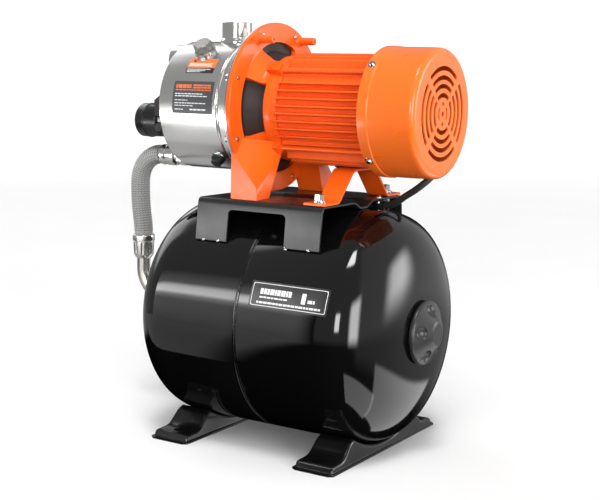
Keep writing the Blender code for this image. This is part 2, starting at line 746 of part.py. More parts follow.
def make_casing():
    """Deep drawn casing with a bead near its flange, open at the back."""
    face = CASING_FACE_X
    radius = CASING_RADIUS
    wall = CASING_WALL
    outer = [(face, 0.0), (face, radius - 0.0060), (face + 0.0018, radius - 0.0018),
             (face + 0.0060, radius), (-0.0740, radius), (-0.0725, radius - 0.0015),
             (-0.0700, radius + 0.0015), (-0.0680, radius + 0.0030), (-0.0560, radius + 0.0030),
             (-0.0480, radius + 0.0040), (-0.0460, 0.1010), (-0.0445, 0.1010)]
    inner = [(-0.0445, radius + 0.0022), (-0.0560, radius + 0.0010),
             (-0.0680, radius + 0.0008), (-0.0725, radius - 0.0032), (-0.0740, radius - wall),
             (face + 0.0068, radius - wall), (face + wall, radius - 0.0070),
             (face + wall, 0.0)]
    casing = turned("pump_casing", outer + inner, STAINLESS, 32)

    def bosses(solid):
        add_rod(solid, polar(radius - 0.0010, PRIMING_TILT, PRIMING_X),
                polar(radius + 0.0040, PRIMING_TILT, PRIMING_X), 0.0120, 20)
        add_rod(solid, polar(radius - 0.0010, DRAIN_TILT, DRAIN_X),
                polar(radius + 0.0030, DRAIN_TILT, DRAIN_X), 0.0080, 16)

    boolean(casing, helper("casing_bosses", solid_mesh("bosses", bosses)), "UNION")

    def holes(solid):
        deep = face + 0.01
        add_rod(solid, (face - 0.01, 0, SUCTION_Z), (deep, 0, SUCTION_Z), PORT_BORE, 24)
        add_rod(solid, (face - 0.01, 0, GAUGE_Z), (deep, 0, GAUGE_Z), 0.0053, 12)
        add_rod(solid, (face - 0.01, 0, HOSE_TOP_Z), (deep, 0, HOSE_TOP_Z), 0.0063, 12)
        add_rod(solid, (DISCHARGE_X, 0, SHAFT_Z + 0.060), (DISCHARGE_X, 0, SHAFT_Z + 0.090),
                PORT_BORE, 24)
        add_rod(solid, polar(0.070, PRIMING_TILT, PRIMING_X),
                polar(0.090, PRIMING_TILT, PRIMING_X), 0.0083, 16)
        add_rod(solid, polar(0.070, DRAIN_TILT, DRAIN_X),
                polar(0.090, DRAIN_TILT, DRAIN_X), 0.0043, 12)

    boolean(casing, helper("casing_holes", solid_mesh("holes", holes)), "DIFFERENCE")


def make_plug(name, tilt, x, seat, sizes, sides, material):
    """Screw plug whose own Z axis is the way it comes out; its origin is on its seat."""
    shank, head, collar, height = sizes
    joined(name, material, [((0, 0, -0.012), (0, 0, 0.002), shank, 16),
                            ((0, 0, 0), (0, 0, 0.0025), collar, 20),
                            ((0, 0, 0.0015), (0, 0, height), head, sides)],
           polar(seat, tilt, x), (tilt, 0, 0))


def make_pump():
    make_casing()
    face = CASING_FACE_X
    turned("suction_port", [(face - GAP, PORT_BORE), (face - GAP, 0.0215),
                            (face - 0.0030, 0.0195), (face - 0.0330, 0.0190),
                            (face - 0.0330, PORT_BORE)],
           STAINLESS, 24, (0, 0, SUCTION_Z))

    saddle_z = SHAFT_Z + CASING_RADIUS
    port = turned("discharge_port", [(saddle_z - 0.0050, PORT_BORE),
                                     (saddle_z - 0.0050, 0.0205), (saddle_z + 0.0020, 0.0195),
                                     (saddle_z + 0.0040, 0.0185), (DISCHARGE_TOP_Z, 0.0185),
                                     (DISCHARGE_TOP_Z, PORT_BORE)],
                  STAINLESS, 24, (DISCHARGE_X, 0, 0), (0, 0, 0))
    body = turned_helper("casing_body", [(-0.15, 0.0), (-0.15, CASING_RADIUS + GAP),
                                         (-0.05, CASING_RADIUS + GAP), (-0.05, 0.0)], 96)
    boolean(port, body, "DIFFERENCE")

    make_plug("priming_plug", PRIMING_TILT, PRIMING_X, CASING_RADIUS + 0.0040 + GAP,
              (0.0080, 0.0125, 0.0135, 0.0130), 6, STAINLESS)
    make_plug("drain_plug", DRAIN_TILT, DRAIN_X, CASING_RADIUS + 0.0030 + GAP,
              (0.0040, 0.0065, 0.0075, 0.0070), 12, BLACK_PLASTIC)
    turned("seal_plate", [(-0.0442, 0.0122), (-0.0442, 0.1010), (-0.0423, 0.1010),
                          (-0.0423, 0.0122)], STAINLESS, 32)

    ring = arc(0.0015, 0, FULL_TURN * 5 / 6, 5, (-0.0462, 0.0800))
    turned("casing_o_ring", ring, RUBBER, 32)

    turned("diffuser", [(-0.0470, 0.0535), (-0.0470, 0.0650), (-0.0680, 0.0650),
                        (-0.0680, 0.0200), (-0.0655, 0.0200), (-0.0655, 0.0535)], NYLON, 24)
    turned("ejector", [(-0.1500, 0.0110), (-0.1500, 0.0180), (-0.1300, 0.0180),
                       (-0.1200, 0.0130), (-0.0800, 0.0160), (-0.0760, 0.0260),
                       (-0.0685, 0.0260), (-0.0685, 0.0130), (-0.1150, 0.0070),
                       (-0.1300, 0.0070)], NYLON, 16)

    impeller = turned("impeller", [(-0.0545, SHAFT_RADIUS + GAP), (-0.0620, SHAFT_RADIUS + GAP),
                                   (-0.0620, 0.0120), (-0.0545, 0.0120), (-0.0540, 0.0500),
                                   (-0.0520, 0.0500), (-0.0520, SHAFT_RADIUS + GAP)],
                      NYLON, 20)

    def vanes(solid):
        for index in range(6):
            vane = add_box(solid, (-0.0600, -0.0010, 0.0), (-0.0530, 0.0010, 0.0360))
            bmesh.ops.rotate(solid, verts=vane, cent=(0, 0, 0),
                             matrix=Matrix.Rotation(math.radians(38), 3, "X"))
            bmesh.ops.translate(solid, verts=vane, vec=(0, 0, 0.0115))
            bmesh.ops.rotate(solid, verts=vane, cent=(0, 0, 0),
                             matrix=Matrix.Rotation(index * FULL_TURN / 6, 3, "X"))
        bmesh.ops.translate(solid, verts=solid.verts, vec=(0, 0, SHAFT_Z))

    boolean(impeller, helper("impeller_vanes", solid_mesh("vanes", vanes)), "UNION")
    turned("impeller_nut", [(-0.0680, 0.0054), (-0.0680, 0.0085), (-0.0628, 0.0085),
                            (-0.0628, 0.0054)], BRASS, 6)
    turned("seal_seat", [(-0.0460, SHAFT_RADIUS + 0.0006), (-0.0460, 0.0118),
                         (-0.0405, 0.0118), (-0.0405, SHAFT_RADIUS + 0.0006)], CERAMIC, 24)
    turned("seal_ring", [(-0.0515, SHAFT_RADIUS + GAP), (-0.0515, 0.0112),
                         (-0.0463, 0.0112), (-0.0463, SHAFT_RADIUS + GAP)], RUBBER, 24)


# ---------------------------------------------------------------- hose and controls

def make_hose():
    start_x = -0.2153
    elbow_x = HOSE_X + 0.0058
    knots = [(start_x - 0.003, 0, HOSE_TOP_Z), (-0.2265, 0, 0.3386), (-0.2380, 0, 0.3335),
             (-0.2480, 0, 0.3235), (-0.2535, 0, 0.3100), (HOSE_X, 0, 0.2950),
             (HOSE_X + 0.0012, 0, 0.2700), (HOSE_X + 0.0045, 0, 0.2470),
             (elbow_x, 0, HOSE_BOTTOM_Z + 0.004)]
    route = [(start_x, 0, HOSE_TOP_Z), *smooth_route(knots, 0.010), (elbow_x, 0, HOSE_BOTTOM_Z)]
    link("hose", tube_mesh("hose", route, HOSE_RADIUS, 4), BRAID)

    upper = [(start_x + GAP, 0.0062), (start_x + GAP, 0.0135), (-0.1900, 0.0135),
             (-0.1890, 0.0105), (-0.1870, 0.0105), (-0.1870, 0.0130), (-0.1740, 0.0130),
             (-0.1740, 0.0105), (CASING_FACE_X - GAP, 0.0105), (CASING_FACE_X - GAP, 0.0062)]
    turned("hose_fitting_upper", upper, STAINLESS, 20, (0, 0, HOSE_TOP_Z))
    low = HOSE_BOTTOM_Z - GAP
    lower = [(low, 0.0062), (low, 0.0138), (low - 0.0080, 0.0142), (low - 0.0100, 0.0142),
             (low - 0.0110, 0.0155), (low - 0.0270, 0.0155), (low - 0.0320, 0.0120),
             (low - 0.0320, 0.0062)]
    turned("hose_fitting_lower", lower, STAINLESS, 20, (elbow_x, 0, 0), (0, 0, 0))
    route = rounded([(elbow_x, 0, low - 0.0323), (elbow_x, 0, TANK_Z),
                     (-TANK_END_X - 0.0126, 0, TANK_Z)], 0.036, 8)
    elbow = link("tank_elbow", tube_mesh("tank_elbow", route, 0.009, 4), BRASS)

    def nut(solid):
        add_rod(solid, (-0.2030, 0, TANK_Z), (-TANK_END_X - 0.0128, 0, TANK_Z), 0.0150, 6)

    boolean(elbow, helper("elbow_nut", solid_mesh("nut", nut)), "UNION")


def make_controls():
    """Pressure switch on the front of the casing, with the gauge screwed to its base."""
    def nipple(solid):
        add_rod(solid, (CASING_FACE_X - GAP, 0, GAUGE_Z), (-0.1797, 0, GAUGE_Z), 0.0095, 6)

    link("switch_nipple", solid_mesh("switch_nipple", nipple), BRASS)

    def base(solid):
        add_box(solid, (-0.2120, -0.0240, 0.3700), (-0.1800, 0.0240, 0.4040))

    link("pressure_switch_base", solid_mesh("pressure_switch_base", base), BLACK_PLASTIC)

    side = rounded([(-0.2120, 0.4043), (-0.2120, 0.4112), (-0.1865, 0.4290),
                    (-0.1805, 0.4290), (-0.1805, 0.4043)], 0.0015, 2, closed=True)
    cover = plate_mesh("pressure_switch_cover", [side], 0.050)
    link("pressure_switch_cover", cover, BLACK_PLASTIC, (0, 0, 0), (math.pi / 2, 0, 0))

    for name, (start, way) in GLANDS.items():
        start = Vector(start)
        way = Vector(way)
        joined(name, BLACK_PLASTIC, [
            (start, start + way * 0.010, 0.0085, 6),
            (start + way * 0.009, start + way * 0.018, 0.0075, 12, 0.0058)])

    turned("gauge_case", [(-0.2470, 0.0198), (-0.2470, 0.0220), (-0.2360, 0.0220),
                          (-0.2355, 0.0226), (-0.2335, 0.0226), (-0.2330, 0.0215),
                          (-0.2150, 0.0210), (-0.2130, 0.0195), (-0.2130, 0.0050),
                          (-0.2123, 0.0050), (-0.2123, 0.0), (-0.2160, 0.0),
                          (-0.2160, 0.0185), (-0.2380, 0.0185), (-0.2380, 0.0198)],
           BLACK_PLASTIC, 28, (0, 0, GAUGE_Z))
    turned("gauge_dial", [(-0.2385, 0.0015), (-0.2385, 0.0195), (-0.2395, 0.0195),
                          (-0.2395, 0.0015)], DIAL_WHITE, 24, (0, 0, GAUGE_Z))

    def needle(solid):
        add_rod(solid, (-0.0008, 0, 0), (0.0008, 0, 0), 0.0026, 12)

    pointer = link("gauge_needle", solid_mesh("gauge_needle", needle), NEEDLE_RED,
                   (-0.2408, 0, GAUGE_Z), (math.radians(-135), 0, 0))

    def blade(solid):
        add_box(solid, (-0.0004, -0.0006, -0.0050), (0.0004, 0.0006, 0.0155))

    boolean(pointer, helper("needle_blade", solid_mesh("blade", blade), (-0.2408, 0, GAUGE_Z),
                            (math.radians(-135), 0, 0)), "UNION")
    turned("gauge_lens", [(-0.2460, 0.0), (-0.2460, 0.0194), (-0.2445, 0.0194),
                          (-0.2445, 0.0)], CLEAR, 24, (0, 0, GAUGE_Z))


GLANDS = {"switch_cable_gland": ((-0.1965, 0.0243, 0.3840), (0, 1, 0)),
          "motor_cable_gland": ((0.0873, 0.0860, 0.3480), (1, 0, 0))}
GLAND_LENGTH = 0.0183


def make_electrics():
    """Terminal box on the motor's far side, its capacitor, and the lead to the switch."""
    box_x = (0.0050, 0.0870)
    box_y = (0.0680, 0.1000)
    box_z = (0.3300, 0.4250)

    def outline(inset):
        return rounded([(box_x[0] + inset, box_z[0] + inset),
                        (box_x[1] - inset, box_z[0] + inset),
                        (box_x[1] - inset, box_z[1] - inset),
                        (box_x[0] + inset, box_z[1] - inset)], 0.010 - inset, 3, closed=True)

    upright = (math.pi / 2, 0, 0)
    depth = box_y[1] - box_y[0]
    box = link("terminal_box", plate_mesh("terminal_box", [outline(0.0)], depth),
               BLACK_PLASTIC, (0, sum(box_y) / 2, 0), upright)
    inside = plate_mesh("terminal_box_inside", [outline(0.0025)], depth)
    boolean(box, helper("terminal_box_inside", inside, (0, sum(box_y) / 2 + 0.0025, 0),
                        upright), "DIFFERENCE")
    link("terminal_box_lid", plate_mesh("terminal_box_lid", [outline(0.0)], 0.004),
         BLACK_PLASTIC, (0, box_y[1] + GAP + 0.002, 0), upright)

    def can(solid):
        add_rod(solid, (0.014, 0.0850, 0.4040), (0.078, 0.0850, 0.4040), 0.0135, 16)

    link("capacitor", solid_mesh("capacitor", can), NYLON)

    head, tail = [Vector(start) + Vector(way) * GLAND_LENGTH for start, way in GLANDS.values()]
    knots = [tail + Vector((0.002, 0, 0)), (0.120, 0.0855, 0.3475), (0.134, 0.082, 0.3430),
             (0.1430, 0.074, 0.3355), (0.1440, 0.066, 0.3270),
             (0.1370, 0.0610, 0.3190), (0.127, 0.060, 0.3110), (0.113, 0.060, 0.3020), (0.101, 0.060, 0.2935), (0.086, 0.060, 0.2886),
             (0.068, 0.060, 0.2868), (0.050, 0.0605, 0.2858), (0.030, 0.064, 0.2840),
             (0.014, 0.073, 0.2795), (0.003, 0.085, 0.2738), (-0.007, 0.097, 0.2710),
             (-0.020, 0.107, 0.2730), (-0.034, 0.113, 0.2795), (-0.050, 0.1155, 0.2910),
             (-0.068, 0.116, 0.3050), (-0.086, 0.115, 0.3200), (-0.104, 0.111, 0.3350),
             (-0.122, 0.105, 0.3480), (-0.140, 0.097, 0.3590), (-0.158, 0.087, 0.3680),
             (-0.174, 0.076, 0.3745), (-0.187, 0.065, 0.3790), (-0.1945, 0.055, 0.3825),
             head + Vector((0, 0.002, 0))]
    route = [tail, *smooth_route(knots, 0.018), head]
    link("motor_lead", tube_mesh("motor_lead", route, LEAD_RADIUS, 2), RUBBER)

    clip_y = 0.060
    clip_z = 0.2882

    def clip(solid):
        add_box(solid, (CLIP_X - 0.005, CLIP_SCREW_Y - 0.005, 0.2955),
                (CLIP_X + 0.005, clip_y + 0.003, 0.2971))

    strap = link("lead_clip", solid_mesh("lead_clip", clip), BLACK_PLASTIC)

    def ring(solid):
        add_rod(solid, (CLIP_X - 0.0045, clip_y, clip_z), (CLIP_X + 0.0045, clip_y, clip_z),
                0.0082, 16)

    def hole(solid):
        add_rod(solid, (CLIP_X - 0.01, clip_y, clip_z), (CLIP_X + 0.01, clip_y, clip_z + 0.0004),
                0.0053, 16)
        add_box(solid, (CLIP_X - 0.01, clip_y - 0.01, 0.2973), (CLIP_X + 0.01, clip_y + 0.01,
                                                              0.3000))
        add_rod(solid, (CLIP_X, CLIP_SCREW_Y, 0.28), (CLIP_X, CLIP_SCREW_Y, 0.31), 0.0024, 12)

    boolean(strap, helper("clip_ring", solid_mesh("ring", ring)), "UNION")
    boolean(strap, helper("clip_hole", solid_mesh("hole", hole)), "DIFFERENCE")


LEAD_RADIUS = 0.0042

make_tank()
make_foot("tank_foot_pump_end", -FOOT_NEAR_X - FOOT_WIDTH / 2)
make_foot("tank_foot_motor_end", FOOT_NEAR_X + FOOT_WIDTH / 2)
make_platform()
make_bracket()
make_motor()
make_pump()
make_hose()
make_controls()
make_electrics()
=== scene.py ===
"""Looks of the shallow well jet pump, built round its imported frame.

+Z is up and X runs along the motor's shaft. Pieces are drawn in millimetres in the tank's own frame,
whose origin is under the girth seam, and add() scales each one to metres and moves it to its place.
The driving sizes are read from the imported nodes. The stage, the lights and the camera are in metres.
"""

import math
import random

import bmesh
import bpy
from mathutils import Matrix, Vector


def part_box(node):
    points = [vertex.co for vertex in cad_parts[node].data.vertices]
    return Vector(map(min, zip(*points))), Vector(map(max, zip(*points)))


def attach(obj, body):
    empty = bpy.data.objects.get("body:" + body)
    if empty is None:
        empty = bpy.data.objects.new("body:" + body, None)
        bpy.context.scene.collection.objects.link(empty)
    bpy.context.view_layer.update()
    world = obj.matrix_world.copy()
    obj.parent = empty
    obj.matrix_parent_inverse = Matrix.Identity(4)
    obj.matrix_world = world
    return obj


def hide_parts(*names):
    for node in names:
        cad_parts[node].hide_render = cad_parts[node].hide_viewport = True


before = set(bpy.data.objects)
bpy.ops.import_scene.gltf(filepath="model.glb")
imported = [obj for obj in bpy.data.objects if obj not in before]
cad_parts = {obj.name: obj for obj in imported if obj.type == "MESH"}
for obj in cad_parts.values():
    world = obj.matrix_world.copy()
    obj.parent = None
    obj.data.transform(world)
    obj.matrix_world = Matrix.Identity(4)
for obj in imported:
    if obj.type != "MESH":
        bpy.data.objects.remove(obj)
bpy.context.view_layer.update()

SET = "pump_set"
FULL_TURN = 2 * math.pi
MM = 0.001
HALF_GAP = 0.15         # half of what the CAD leaves between the tank's two shells

# ---------------------------------------------------------------- sizes read from the frame

TANK_LOW, TANK_HIGH = (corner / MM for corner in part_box("tank_shell_motor_end"))
SEAM_X = TANK_LOW.x - HALF_GAP
TANK_R = (TANK_HIGH.y - TANK_LOW.y) / 2
TANK_Z = TANK_HIGH.z - TANK_R
TANK_END = TANK_HIGH.x - SEAM_X
SHAFT_LOW, SHAFT_HIGH = (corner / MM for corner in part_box("rotor_core"))
SHAFT_Z = (SHAFT_LOW.z + SHAFT_HIGH.z) / 2
PLATFORM_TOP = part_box("platform")[1].z / MM
TO_WORLD = Matrix.Scale(MM, 4) @ Matrix.Translation((SEAM_X, 0, 0))

# ---------------------------------------------------------------- sizes named here

TANK_STRAIGHT = 99.8
DOME_POWER = 2.88
CASING_R = 80
CASING_FACE = -160
DISC_R = 103.4
SCREW_CIRCLE = 94
ROD_CIRCLE = 65
HOUSING_X = (0.3, 118)
FIN_ROOT = 58.5
FIN_TIP = 67.2
FIN_PITCH = 9.07
COVER_R = 76.5
COVER_X = (118.4, 188.9)
SUCTION_Z = 462.5
GAUGE_Z = 384
HOSE_TOP_Z = 339.6
HOSE_BOTTOM_Z = 230.3
HOSE_R = 12.75
ELBOW_X = -248.9
DISCHARGE_X = -99
DISCHARGE_TOP = 510.5
THREAD_PITCH = 2.3
CORNERS = [(index + 0.5) * FULL_TURN / 4 for index in range(4)]
ACROSS_X = Matrix(((0, 0, 1, 0), (1, 0, 0, 0), (0, 1, 0, 0), (0, 0, 0, 1)))  # local X, Y, Z to Y, Z, X
UPRIGHT = Matrix(((1, 0, 0, 0), (0, 0, -1, 0), (0, 1, 0, 0), (0, 0, 0, 1)))  # local Z to -Y, Y to Z
ON_SHAFT = Matrix.Translation((0, 0, SHAFT_Z))
ON_TANK = Matrix.Translation((0, 0, TANK_Z))
ON_GAUGE = Matrix.Translation((0, 0, GAUGE_Z))
ON_SUCTION = Matrix.Translation((0, 0, SUCTION_Z))
BACK = Vector((1, 0, 0))                                    # towards the motor's end
FRONT = -BACK                                               # towards the pump's end
UP = Vector((0, 0, 1))
UPWARDS = Matrix.Rotation(-math.pi / 2, 4, "Y")             # local X to Z
ON_DISCHARGE = Matrix.Translation((DISCHARGE_X, 0, 0)) @ UPWARDS


# ---------------------------------------------------------------- materials

SOCKETS = {"coat": "Coat Weight", "coat_roughness": "Coat Roughness", "ior": "IOR",
           "specular": "Specular IOR Level"}


def node(tree, kind, inputs=None, **settings):
    """New shader node; each input is a value, or the output socket that feeds it."""
    made = tree.nodes.new("ShaderNode" + kind)
    for name, value in settings.items():
        setattr(made, name, value)
    for name, value in (inputs or {}).items():
        if isinstance(value, bpy.types.NodeSocket):
            tree.links.new(value, made.inputs[name])
        else:
            made.inputs[name].default_value = value
    return made


def ramp(tree, factor, stops):
    """Colour that follows a factor through stops of (position, colour)."""
    made = node(tree, "ValToRGB", {"Fac": factor})
    elements = made.color_ramp.elements
    while len(elements) < len(stops):
        elements.new(0.5)
    for element, (place, colour) in zip(elements, stops):
        element.position = place
        element.color = (*colour, 1)
    return made.outputs["Color"]


def new_material(name, colour, roughness, metallic=0.0, **sockets):
    """Principled material; sockets are named values such as coat=0.3."""
    material = bpy.data.materials.new(name)
    material.use_nodes = True
    shader = shader_of(material)
    shader.inputs["Base Color"].default_value = (*colour, 1)
    shader.inputs["Roughness"].default_value = roughness
    shader.inputs["Metallic"].default_value = metallic
    for socket, value in sockets.items():
        shader.inputs[SOCKETS[socket]].default_value = value
    material.diffuse_color = (*colour, 1)
    return material


def noise(material, scale, detail=2.0):
    """Noise over the object's own coordinates; scale may differ along the axes."""
    tree = material.node_tree
    scale = scale if isinstance(scale, tuple) else (scale,) * 3
    place = node(tree, "TexCoord").outputs["Object"]
    place = node(tree, "Mapping", {"Vector": place, "Scale": scale}).outputs["Vector"]
    return node(tree, "TexNoise", {"Vector": place, "Scale": 1.0, "Detail": detail}).outputs["Fac"]


def shader_of(material):
    return material.node_tree.nodes["Principled BSDF"]


def vary_colour(material, factor, first, second):
    tree = material.node_tree
    colour = ramp(tree, factor, ((0.35, first), (0.65, second)))
    tree.links.new(colour, shader_of(material).inputs["Base Color"])


def vary_roughness(material, factor, low, high):
    tree = material.node_tree
    value = node(tree, "MapRange",
                 {"Value": factor, "From Min": 0.3, "From Max": 0.7, "To Min": low, "To Max": high})
    tree.links.new(value.outputs["Result"], shader_of(material).inputs["Roughness"])


def bumps(material, height, distance):
    """Bump map from a height."""
    tree = material.node_tree
    bump = node(tree, "Bump", {"Height": height, "Distance": distance})
    tree.links.new(bump.outputs["Normal"], shader_of(material).inputs["Normal"])


def paint(name, colour, shade, roughness, peel, **sockets):
    """Sprayed paint: faint orange peel, slow changes of shade, and fine grain."""
    material = new_material(name, colour, roughness, **sockets)
    vary_colour(material, noise(material, 9.0), colour, shade)
    vary_roughness(material, noise(material, 40.0), roughness * 0.88, roughness * 1.15)
    bumps(material, noise(material, 160.0, 1.0), peel)
    return material


def powder_coat(name, colour, shade, roughness, grain, specular=0.5):
    """Textured powder coat: fine lumps, each a little lighter than its ground."""
    material = new_material(name, colour, roughness, specular=specular)
    vary_colour(material, noise(material, 1100.0, 3.0), colour, shade)
    vary_roughness(material, noise(material, 60.0), roughness * 0.9, roughness * 1.1)
    bumps(material, noise(material, 1300.0, 2.0), grain)
    return material


def turned_metal(name, colour, roughness, grain, across, lines=900.0, **sockets):
    """Metal with fine lines round one axis: the scale is large only along that axis."""
    material = new_material(name, colour, roughness, 1.0, **sockets)
    scale = [5.0, 5.0, 5.0]
    scale["XYZ".index(across)] = lines
    vary_roughness(material, noise(material, tuple(scale), 3.0), roughness * 0.9, roughness * 1.12)
    bumps(material, noise(material, tuple(scale), 3.0), grain)
    vary_colour(material, noise(material, 14.0), colour, tuple(value * 0.93 for value in colour))
    return material


def moulded(name, colour, roughness, grain=0.00002, **sockets):
    material = new_material(name, colour, roughness, **sockets)
    vary_roughness(material, noise(material, 90.0), roughness * 0.85, roughness * 1.15)
    bumps(material, noise(material, 1800.0, 2.0), grain)
    return material


def metal(name, colour, roughness, mottle=120.0, grain=0.00001):
    material = new_material(name, colour, roughness, 1.0)
    vary_colour(material, noise(material, mottle), colour, tuple(value * 0.86 for value in colour))
    vary_roughness(material, noise(material, mottle * 2), roughness * 0.8, roughness * 1.25)
    bumps(material, noise(material, 900.0, 2.0), grain)
    return material


def braid_metal(name, dark, bright):
    """Wire bands: lines run along each band, read from the band's own UV; the colour runs from dark in
    the grooves between wires to bright on their crowns, as painted shade.
    """
    material = new_material(name, bright, 0.35, 1.0)
    tree = material.node_tree
    place = node(tree, "UVMap").outputs["UV"]
    wave = node(tree, "TexWave", {"Vector": place, "Scale": 1.6}, bands_direction="X").outputs["Fac"]
    bumps(material, wave, 0.00012)
    # Painted shade: dark in the grooves between the wires, bright on their crowns.
    colour = ramp(tree, wave, ((0, dark), (1, bright)))
    tree.links.new(colour, shader_of(material).inputs["Base Color"])
    vary_roughness(material, noise(material, 300.0), 0.3, 0.45)
    return material


ORANGE = paint("orange_paint_cast", (0.86, 0.115, 0.008), (0.80, 0.095, 0.006), 0.34, 0.00004,
               specular=0.16, coat=0.40, coat_roughness=0.13)
COVER_ORANGE = paint("orange_paint_sheet", (0.87, 0.155, 0.016), (0.84, 0.14, 0.013), 0.3, 0.00004,
                     specular=0.25, coat=0.45, coat_roughness=0.12)
FIN_ORANGE = powder_coat("orange_powder_coat", (0.82, 0.095, 0.008), (0.87, 0.13, 0.022), 0.42, 0.00016,
                         0.16)
TANK_BLACK = paint("gloss_black_enamel", (0.0022, 0.0022, 0.0024), (0.003, 0.003, 0.0032), 0.07,
                   0.000006, specular=0.5)
FOOT_BLACK = paint("black_enamel_pressed", (0.0032, 0.0032, 0.0034), (0.0045, 0.0045, 0.0047), 0.16,
                   0.00002)
PLATFORM_BLACK = powder_coat("satin_black_sheet", (0.013, 0.013, 0.0135), (0.019, 0.019, 0.0195), 0.24,
                             0.00002, 0.33)
CASING_STEEL = turned_metal("stainless_polished_x", (0.74, 0.735, 0.72), 0.22, 0.000001, "X")
PORT_STEEL = turned_metal("stainless_turned_z", (0.72, 0.715, 0.70), 0.16, 0.000006, "Z")
CAST_STEEL = metal("stainless_cast", (0.52, 0.51, 0.49), 0.26, 60.0, 0.00006)
FITTING_STEEL = turned_metal("fitting_plated_x", (0.74, 0.73, 0.70), 0.2, 0.000006, "X", 600.0)
FERRULE_STEEL = turned_metal("ferrule_plated_z", (0.72, 0.71, 0.69), 0.22, 0.000008, "Z", 600.0)
ZINC = metal("zinc_plate_bright", (0.58, 0.58, 0.57), 0.14)
NICKEL = metal("nickel_plated_brass", (0.70, 0.68, 0.63), 0.2, 40.0)
# One steel in a lit and a shaded copy: painted highlight on the bands wound one way, painted shade on
# those wound the other way.
BRAID = {-1: braid_metal("braid_wire_painted_highlight", (0.30, 0.30, 0.29), (0.88, 0.88, 0.87)),
         1: braid_metal("braid_wire_painted_shade", (0.12, 0.12, 0.12), (0.56, 0.56, 0.55))}
SWITCH_BLACK = moulded("black_plastic_moulded", (0.012, 0.012, 0.013), 0.42)
GAUGE_BLACK = moulded("black_plastic_glossy", (0.009, 0.009, 0.010), 0.26, 0.000008)
CAP_BLACK = moulded("black_plastic_cap", (0.024, 0.024, 0.025), 0.33, 0.00002, specular=0.5)
RUBBER = moulded("black_rubber_soft", (0.016, 0.016, 0.017), 0.5, 0.00003)
# Dark brown for the liner inside the bracket: painted shade of the seal chamber, not a coat the pump has.
PAINTED_SHADE = moulded("painted_shade_dark_brown", (0.020, 0.010, 0.009), 0.6, 0.00003)
LABEL_GREY = moulded("label_ground_grey", (0.060, 0.062, 0.068), 0.4, 0.000005)
LABEL_BLACK = moulded("label_ground_black", (0.018, 0.018, 0.019), 0.38, 0.000005)
LABEL_ORANGE = moulded("label_print_orange", (0.86, 0.17, 0.03), 0.42, 0.000005)
LABEL_WHITE = moulded("label_print_white", (0.80, 0.80, 0.79), 0.42, 0.000005)
LABEL_RED = moulded("label_print_red", (0.62, 0.04, 0.03), 0.42, 0.000005)
LAMINATION = metal("lamination_steel", (0.32, 0.31, 0.30), 0.5, 200.0)
COPPER = metal("enamelled_copper", (0.66, 0.25, 0.10), 0.35, 300.0)
CERAMIC = moulded("seal_ceramic_white", (0.74, 0.71, 0.65), 0.35)
NYLON = moulded("nylon_black", (0.03, 0.03, 0.032), 0.45)
DIAL = moulded("dial_white", (0.82, 0.82, 0.80), 0.4)
NEEDLE = moulded("needle_red", (0.62, 0.03, 0.02), 0.35)
CAST_ALUMINIUM = metal("aluminium_cast", (0.52, 0.52, 0.53), 0.42, 90.0, 0.00004)


def clear_material():
    """Thin clear plastic: mostly seen through, with a faint sheen of its own."""
    material = new_material("clear_lens", (0.95, 0.96, 0.96), 0.06, ior=1.45)
    vary_roughness(material, noise(material, 50.0), 0.04, 0.09)
    shader_of(material).inputs["Alpha"].default_value = 0.18
    return material


CLEAR = clear_material()


# ---------------------------------------------------------------- mesh tools

def free_into_mesh(solid, name):
    mesh = bpy.data.meshes.new(name)
    solid.to_mesh(mesh)
    solid.free()
    return mesh


def mesh_from(solid):
    """Mesh of a new shape, with its seams merged and its normals outwards."""
    bmesh.ops.remove_doubles(solid, verts=solid.verts, dist=0.0001)
    bmesh.ops.recalc_face_normals(solid, faces=solid.faces)
    return free_into_mesh(solid, "shape")


def stitch(rings, closed_ends=False, caps=False):
    """Quads between rings of points; a ring of one point is a pole."""
    solid = bmesh.new()
    made = [[solid.verts.new(point) for point in ring] for ring in rings]
    pairs = list(zip(made, made[1:]))
    if closed_ends:
        pairs.append((made[-1], made[0]))
    count = max(len(ring) for ring in made)
    for first, second in pairs:
        for index in range(count):
            after = index + 1
            corners = [first[index % len(first)], first[after % len(first)],
                       second[after % len(second)], second[index % len(second)]]
            corners = list(dict.fromkeys(corners))
            if len(corners) > 2:
                solid.faces.new(corners)
    if caps:
        solid.faces.new(made[0])
        solid.faces.new(made[-1])
    return mesh_from(solid)


def lathe(profile, steps=96):
    """Turned about X from (along, radius) points, angles counted from +Z towards -Y."""
    rings = []
    for along, radius in profile:
        turns = [FULL_TURN * step / steps for step in range(steps if radius >= 0.001 else 1)]
        rings.append([(along, -radius * math.sin(turn), radius * math.cos(turn)) for turn in turns])
    return stitch(rings, closed_ends=len(rings[0]) > 1)


def fillet(points, radius, steps=4, closed=False):
    """Outline with every corner rounded; a corner may be (x, y, its own radius)."""
    corners = [Vector(point[:2]) for point in points]
    count = len(corners)
    rounded = []
    for index, corner in enumerate(corners):
        reach = points[index][2] if len(points[index]) > 2 else radius
        if (not closed and index in (0, count - 1)) or reach == 0:
            rounded.append(tuple(corner))
            continue
        before = corners[index - 1] - corner
        after = corners[(index + 1) % count] - corner
        cut = min(reach, before.length * 0.45, after.length * 0.45)
        first = corner + before.normalized() * cut
        last = corner + after.normalized() * cut
        for step in range(steps + 1):
            t = step / steps
            rounded.append(tuple((1 - t) ** 2 * first + 2 * t * (1 - t) * corner + t * t * last))
    return rounded


